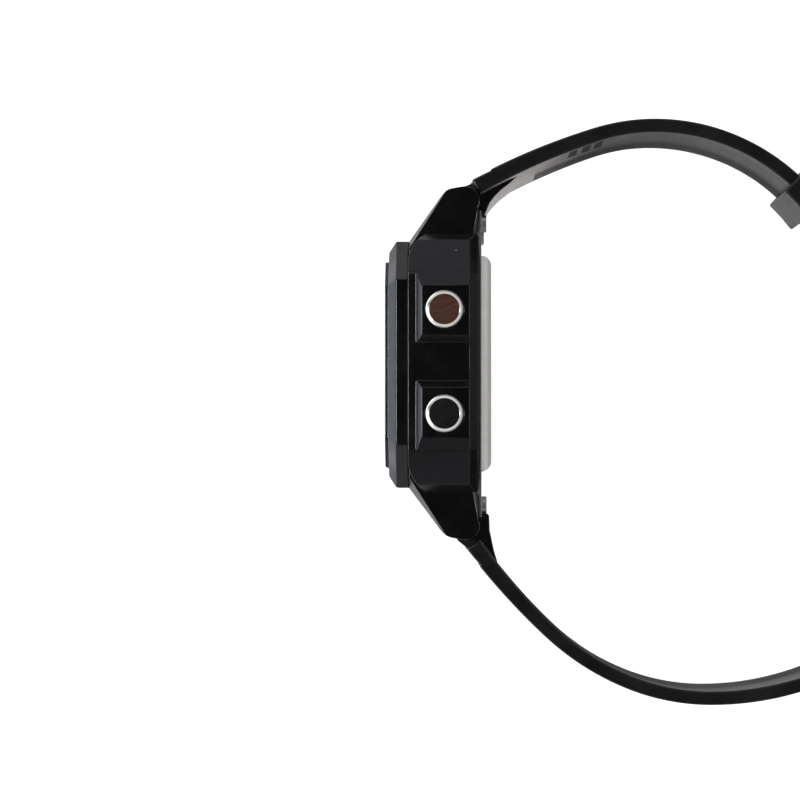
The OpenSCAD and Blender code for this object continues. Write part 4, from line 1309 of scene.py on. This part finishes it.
@dataclass
class Studio:
    """Camera, floor, lamps and world, in metres in the row's frame."""

    eye: Point = (0.0169, -0.00712, 0.446)
    forward: Point = (-0.02839, -0.01024, -1.0)
    right: Point = (0.0, 1.0, -0.01024)
    lens: float = 153.8
    sensor: float = 36.0
    clip: Pair = (0.01, 20)
    floor_size: float = 6
    floor_z: float = -0.0211
    floor_white: float = 0.5
    floor_glow: float = 0.9
    # Shiny parts see the floor as a painted glow set by these ramps. It is bright far out on the dial side
    # and has painted shade near the watch and at the lugs. It is dim behind and far towards the ends, and
    # cool and warm tint it.
    floor_dial: Ramp = (1.3, 0.36, -0.09, -0.03)
    floor_lugs: Ramp = (1.0, 0.42, -0.028, -0.018)
    floor_near: Ramp = (0.0, 0.85, -0.012, 0.0)
    floor_back: Ramp = (1.0, 0.15 / 0.85, 0.006, 0.016)
    floor_wrist: Ramp = (1.0, 0.08, 0.08, 0.25)
    floor_upper: Ramp = (0.75, 1.0, -0.09, -0.06)
    floor_lower: Ramp = (1.0, 0.25, 0.05, 0.08)
    floor_tone: Ramp = (0.0, 1.0, -0.03, 0.0)
    cool: Colour = (0.92, 0.98, 1.12)
    warm: Colour = (1.04, 0.99, 0.97)
    white: Colour = (1.0, 1.0, 1.0)
    ring_top: Ramp = (0.0, 0.66, 0.64, 0.5)
    ring_foot: Ramp = (0.0, 1.0, 0.11, 0.18)
    ring_gap: Ramp = (1.0, 0.02, 0.958, 0.988)
    gap_way: Pair = (-0.5, -0.866)
    ring_flash: Ramp = (1.0, 2.7, 0.885, 0.925)
    flash_way: Pair = (0.292, -0.956)
    ring_wrist: Ramp = (1.0, 0.95, 0.2, 0.7)
    overhead: Ramp = (0.0, 1.0, 0.93, 0.75)
    upper_side: Ramp = (0.0, 0.5, -0.3, -0.65)
    lower_side: Ramp = (0.0, 0.05, 0.3, 0.65)
    low_share: Ramp = (0.0, 1.0, 0.17, 0.09)
    dial_side: Ramp = (0.12, 2.1, -0.25, -0.75)
    zenith: float = 0.03
    key_place: Point = (-0.04, -0.52, 0.85)
    key_size: float = 0.14
    key_power: float = 4.0
    back_place: Point = (0.0, 0.45, 0.5)
    back_size: float = 0.16
    back_power: float = 0.6

    def build(self) -> None:
        """Sets up the whole studio."""
        self._camera()
        self._floor()
        self._world()
        self._softbox("key_softbox", self.key_place, self.key_size, self.key_power)
        self._softbox("back_softbox", self.back_place, self.back_size, self.back_power)
        bpy.context.scene.view_settings.view_transform = "Standard"

    def _camera(self) -> None:
        """Puts the camera where the photograph was taken from."""
        data = bpy.data.cameras.new("camera")
        data.lens, data.sensor_width = self.lens, self.sensor
        data.clip_start, data.clip_end = self.clip
        camera = bpy.data.objects.new("camera", data)
        bpy.context.scene.collection.objects.link(camera)
        forward = Vector(self.forward).normalized()
        right = Vector(self.right).normalized()
        up = right.cross(forward).normalized()
        turn = Matrix((right, up, -forward)).transposed().to_4x4()
        camera.matrix_world = Matrix.Translation(self.eye) @ turn
        bpy.context.scene.camera = camera

    def _floor(self) -> None:
        """Lays a pale floor that shows white behind the watch and keeps its soft shadow; shiny parts see a
        painted glow on it, with painted shade near the watch.
        """
        Workpiece.clear()
        bpy.ops.mesh.primitive_plane_add(size=self.floor_size, location=(0, 0, self.floor_z))
        floor = Workpiece.from_active("floor").obj
        material = bpy.data.materials.new("pale_floor")
        material.use_nodes = True
        nodes = Nodes(material.node_tree)
        path = nodes.add("LightPath").outputs
        x, y, _ = nodes.add("SeparateXYZ", {0: nodes.place()}).outputs
        # The painted glow: painted shade near the watch on the dial side and at the lugs, dimmer behind and
        # towards the ends.
        dial = nodes.times(nodes.ramp(y, self.floor_dial), nodes.ramp(y, self.floor_lugs))
        front = nodes.math("MAXIMUM", dial, nodes.ramp(y, self.floor_near))
        back = nodes.times(nodes.ramp(y, self.floor_back), nodes.ramp(y, self.floor_wrist))
        ends = nodes.times(nodes.ramp(x, self.floor_upper), nodes.ramp(x, self.floor_lower))
        direct = nodes.math("MAXIMUM", path["Is Camera Ray"], path["Is Transmission Ray"])
        painted_glow = nodes.times(path["Is Glossy Ray"], nodes.times(front, back, ends))
        strength = nodes.math("MAXIMUM", nodes.times(direct, self.floor_glow), painted_glow)
        # Glossy rays see the glow tinted cool on the dial side and warm behind, a painted colour of
        # reflected light.
        tone = nodes.blend(nodes.spread(y, *self.floor_tone), self.cool, self.warm)
        colour = nodes.blend(path["Is Glossy Ray"], self.white, tone)
        glow = nodes.add("Emission", {"Strength": strength, "Color": colour})
        matt = nodes.add("BsdfDiffuse", {"Color": (self.floor_white,) * 3})
        both = nodes.add("AddShader", {0: glow.outputs[0], 1: matt.outputs[0]})
        nodes.add("OutputMaterial", {"Surface": both.outputs[0]})
        floor.data.materials.append(material)

    def _world(self) -> None:
        """Makes a studio that is dark overhead, with light all round and a bright dial side."""
        world = bpy.data.worlds.new("studio")
        bpy.context.scene.world = world
        world.use_nodes = True
        nodes = Nodes(world.node_tree)
        path = nodes.add("LightPath").outputs
        x, y, z = nodes.add("SeparateXYZ", {0: nodes.add("TexCoord").outputs["Generated"]}).outputs
        flat = nodes.math("SQRT", nodes.math("SUBTRACT", 1.0, nodes.times(z, z)), 0.0)

        def toward(way: Pair) -> Socket:
            """Gives the cosine between the direction's plan and another one."""
            along = nodes.math("ADD", nodes.times(x, way[0]), nodes.times(y, way[1]))
            return nodes.math("DIVIDE", along, flat)

        band = nodes.times(nodes.ramp(z, self.ring_top), nodes.ramp(z, self.ring_foot))
        breaks = nodes.times(nodes.ramp(toward(self.gap_way), self.ring_gap),
                             nodes.ramp(toward(self.flash_way), self.ring_flash),
                             nodes.ramp(y, self.ring_wrist))
        sides = nodes.math("ADD", nodes.ramp(x, self.upper_side), nodes.ramp(x, self.lower_side))
        above = nodes.times(nodes.ramp(z, self.overhead), sides)
        high = nodes.math("MAXIMUM", nodes.times(band, breaks), above)
        low = nodes.ramp(z, self.low_share)
        mixed = nodes.math("ADD", nodes.times(high, nodes.math("SUBTRACT", 1.0, low)),
                           nodes.times(nodes.ramp(y, self.dial_side), low))
        strength = nodes.math("MAXIMUM", nodes.math("ADD", mixed, self.zenith), path["Is Camera Ray"])
        background = nodes.add("Background", {"Strength": strength, "Color": self.white})
        nodes.add("OutputWorld", {"Surface": background.outputs[0]})

    @staticmethod
    def _softbox(name: str, place: Point, size: float, power: float) -> None:
        """Hangs a round softbox that faces the watch.

        Args:
            name: Its name.
            place: Its place in the row, where no flat face mirrors it to the camera.
            size: Its diameter in metres.
            power: Its power in watts.
        """
        data = bpy.data.lights.new(name, "AREA")
        data.shape, data.size, data.energy = "DISK", size, power
        lamp = bpy.data.objects.new(name, data)
        bpy.context.scene.collection.objects.link(lamp)
        lamp.location = place
        lamp.rotation_mode = "QUATERNION"
        lamp.rotation_quaternion = (-Vector(place)).to_track_quat("-Z", "Y")


def main() -> None:
    """Builds the studio and the watch, piece by piece."""
    logging.basicConfig(level=logging.INFO, format="%(message)s")
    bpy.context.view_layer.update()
    upper = Route((23.391, 2.535), 30.0, [(60, 3), (85, 9.5), (26.7, 87), (24, 34)])
    lower = Route((23.5, 3.2), 52.7, [(90, 9.5), (34, 21), (29, 22.2), (39, 116)])
    for part in (Studio(), Effects(), *WATCH_FINISHES, Case(), Display(), Buttons(),
                 ShortStrap("strap_short", "short_strap", upper, End.UPPER, 70.0),
                 LongStrap("strap_long", "long_strap", lower, End.LOWER, 116.0), Fittings(), Module()):
        part.build()


if __name__ == "__main__":
    main()
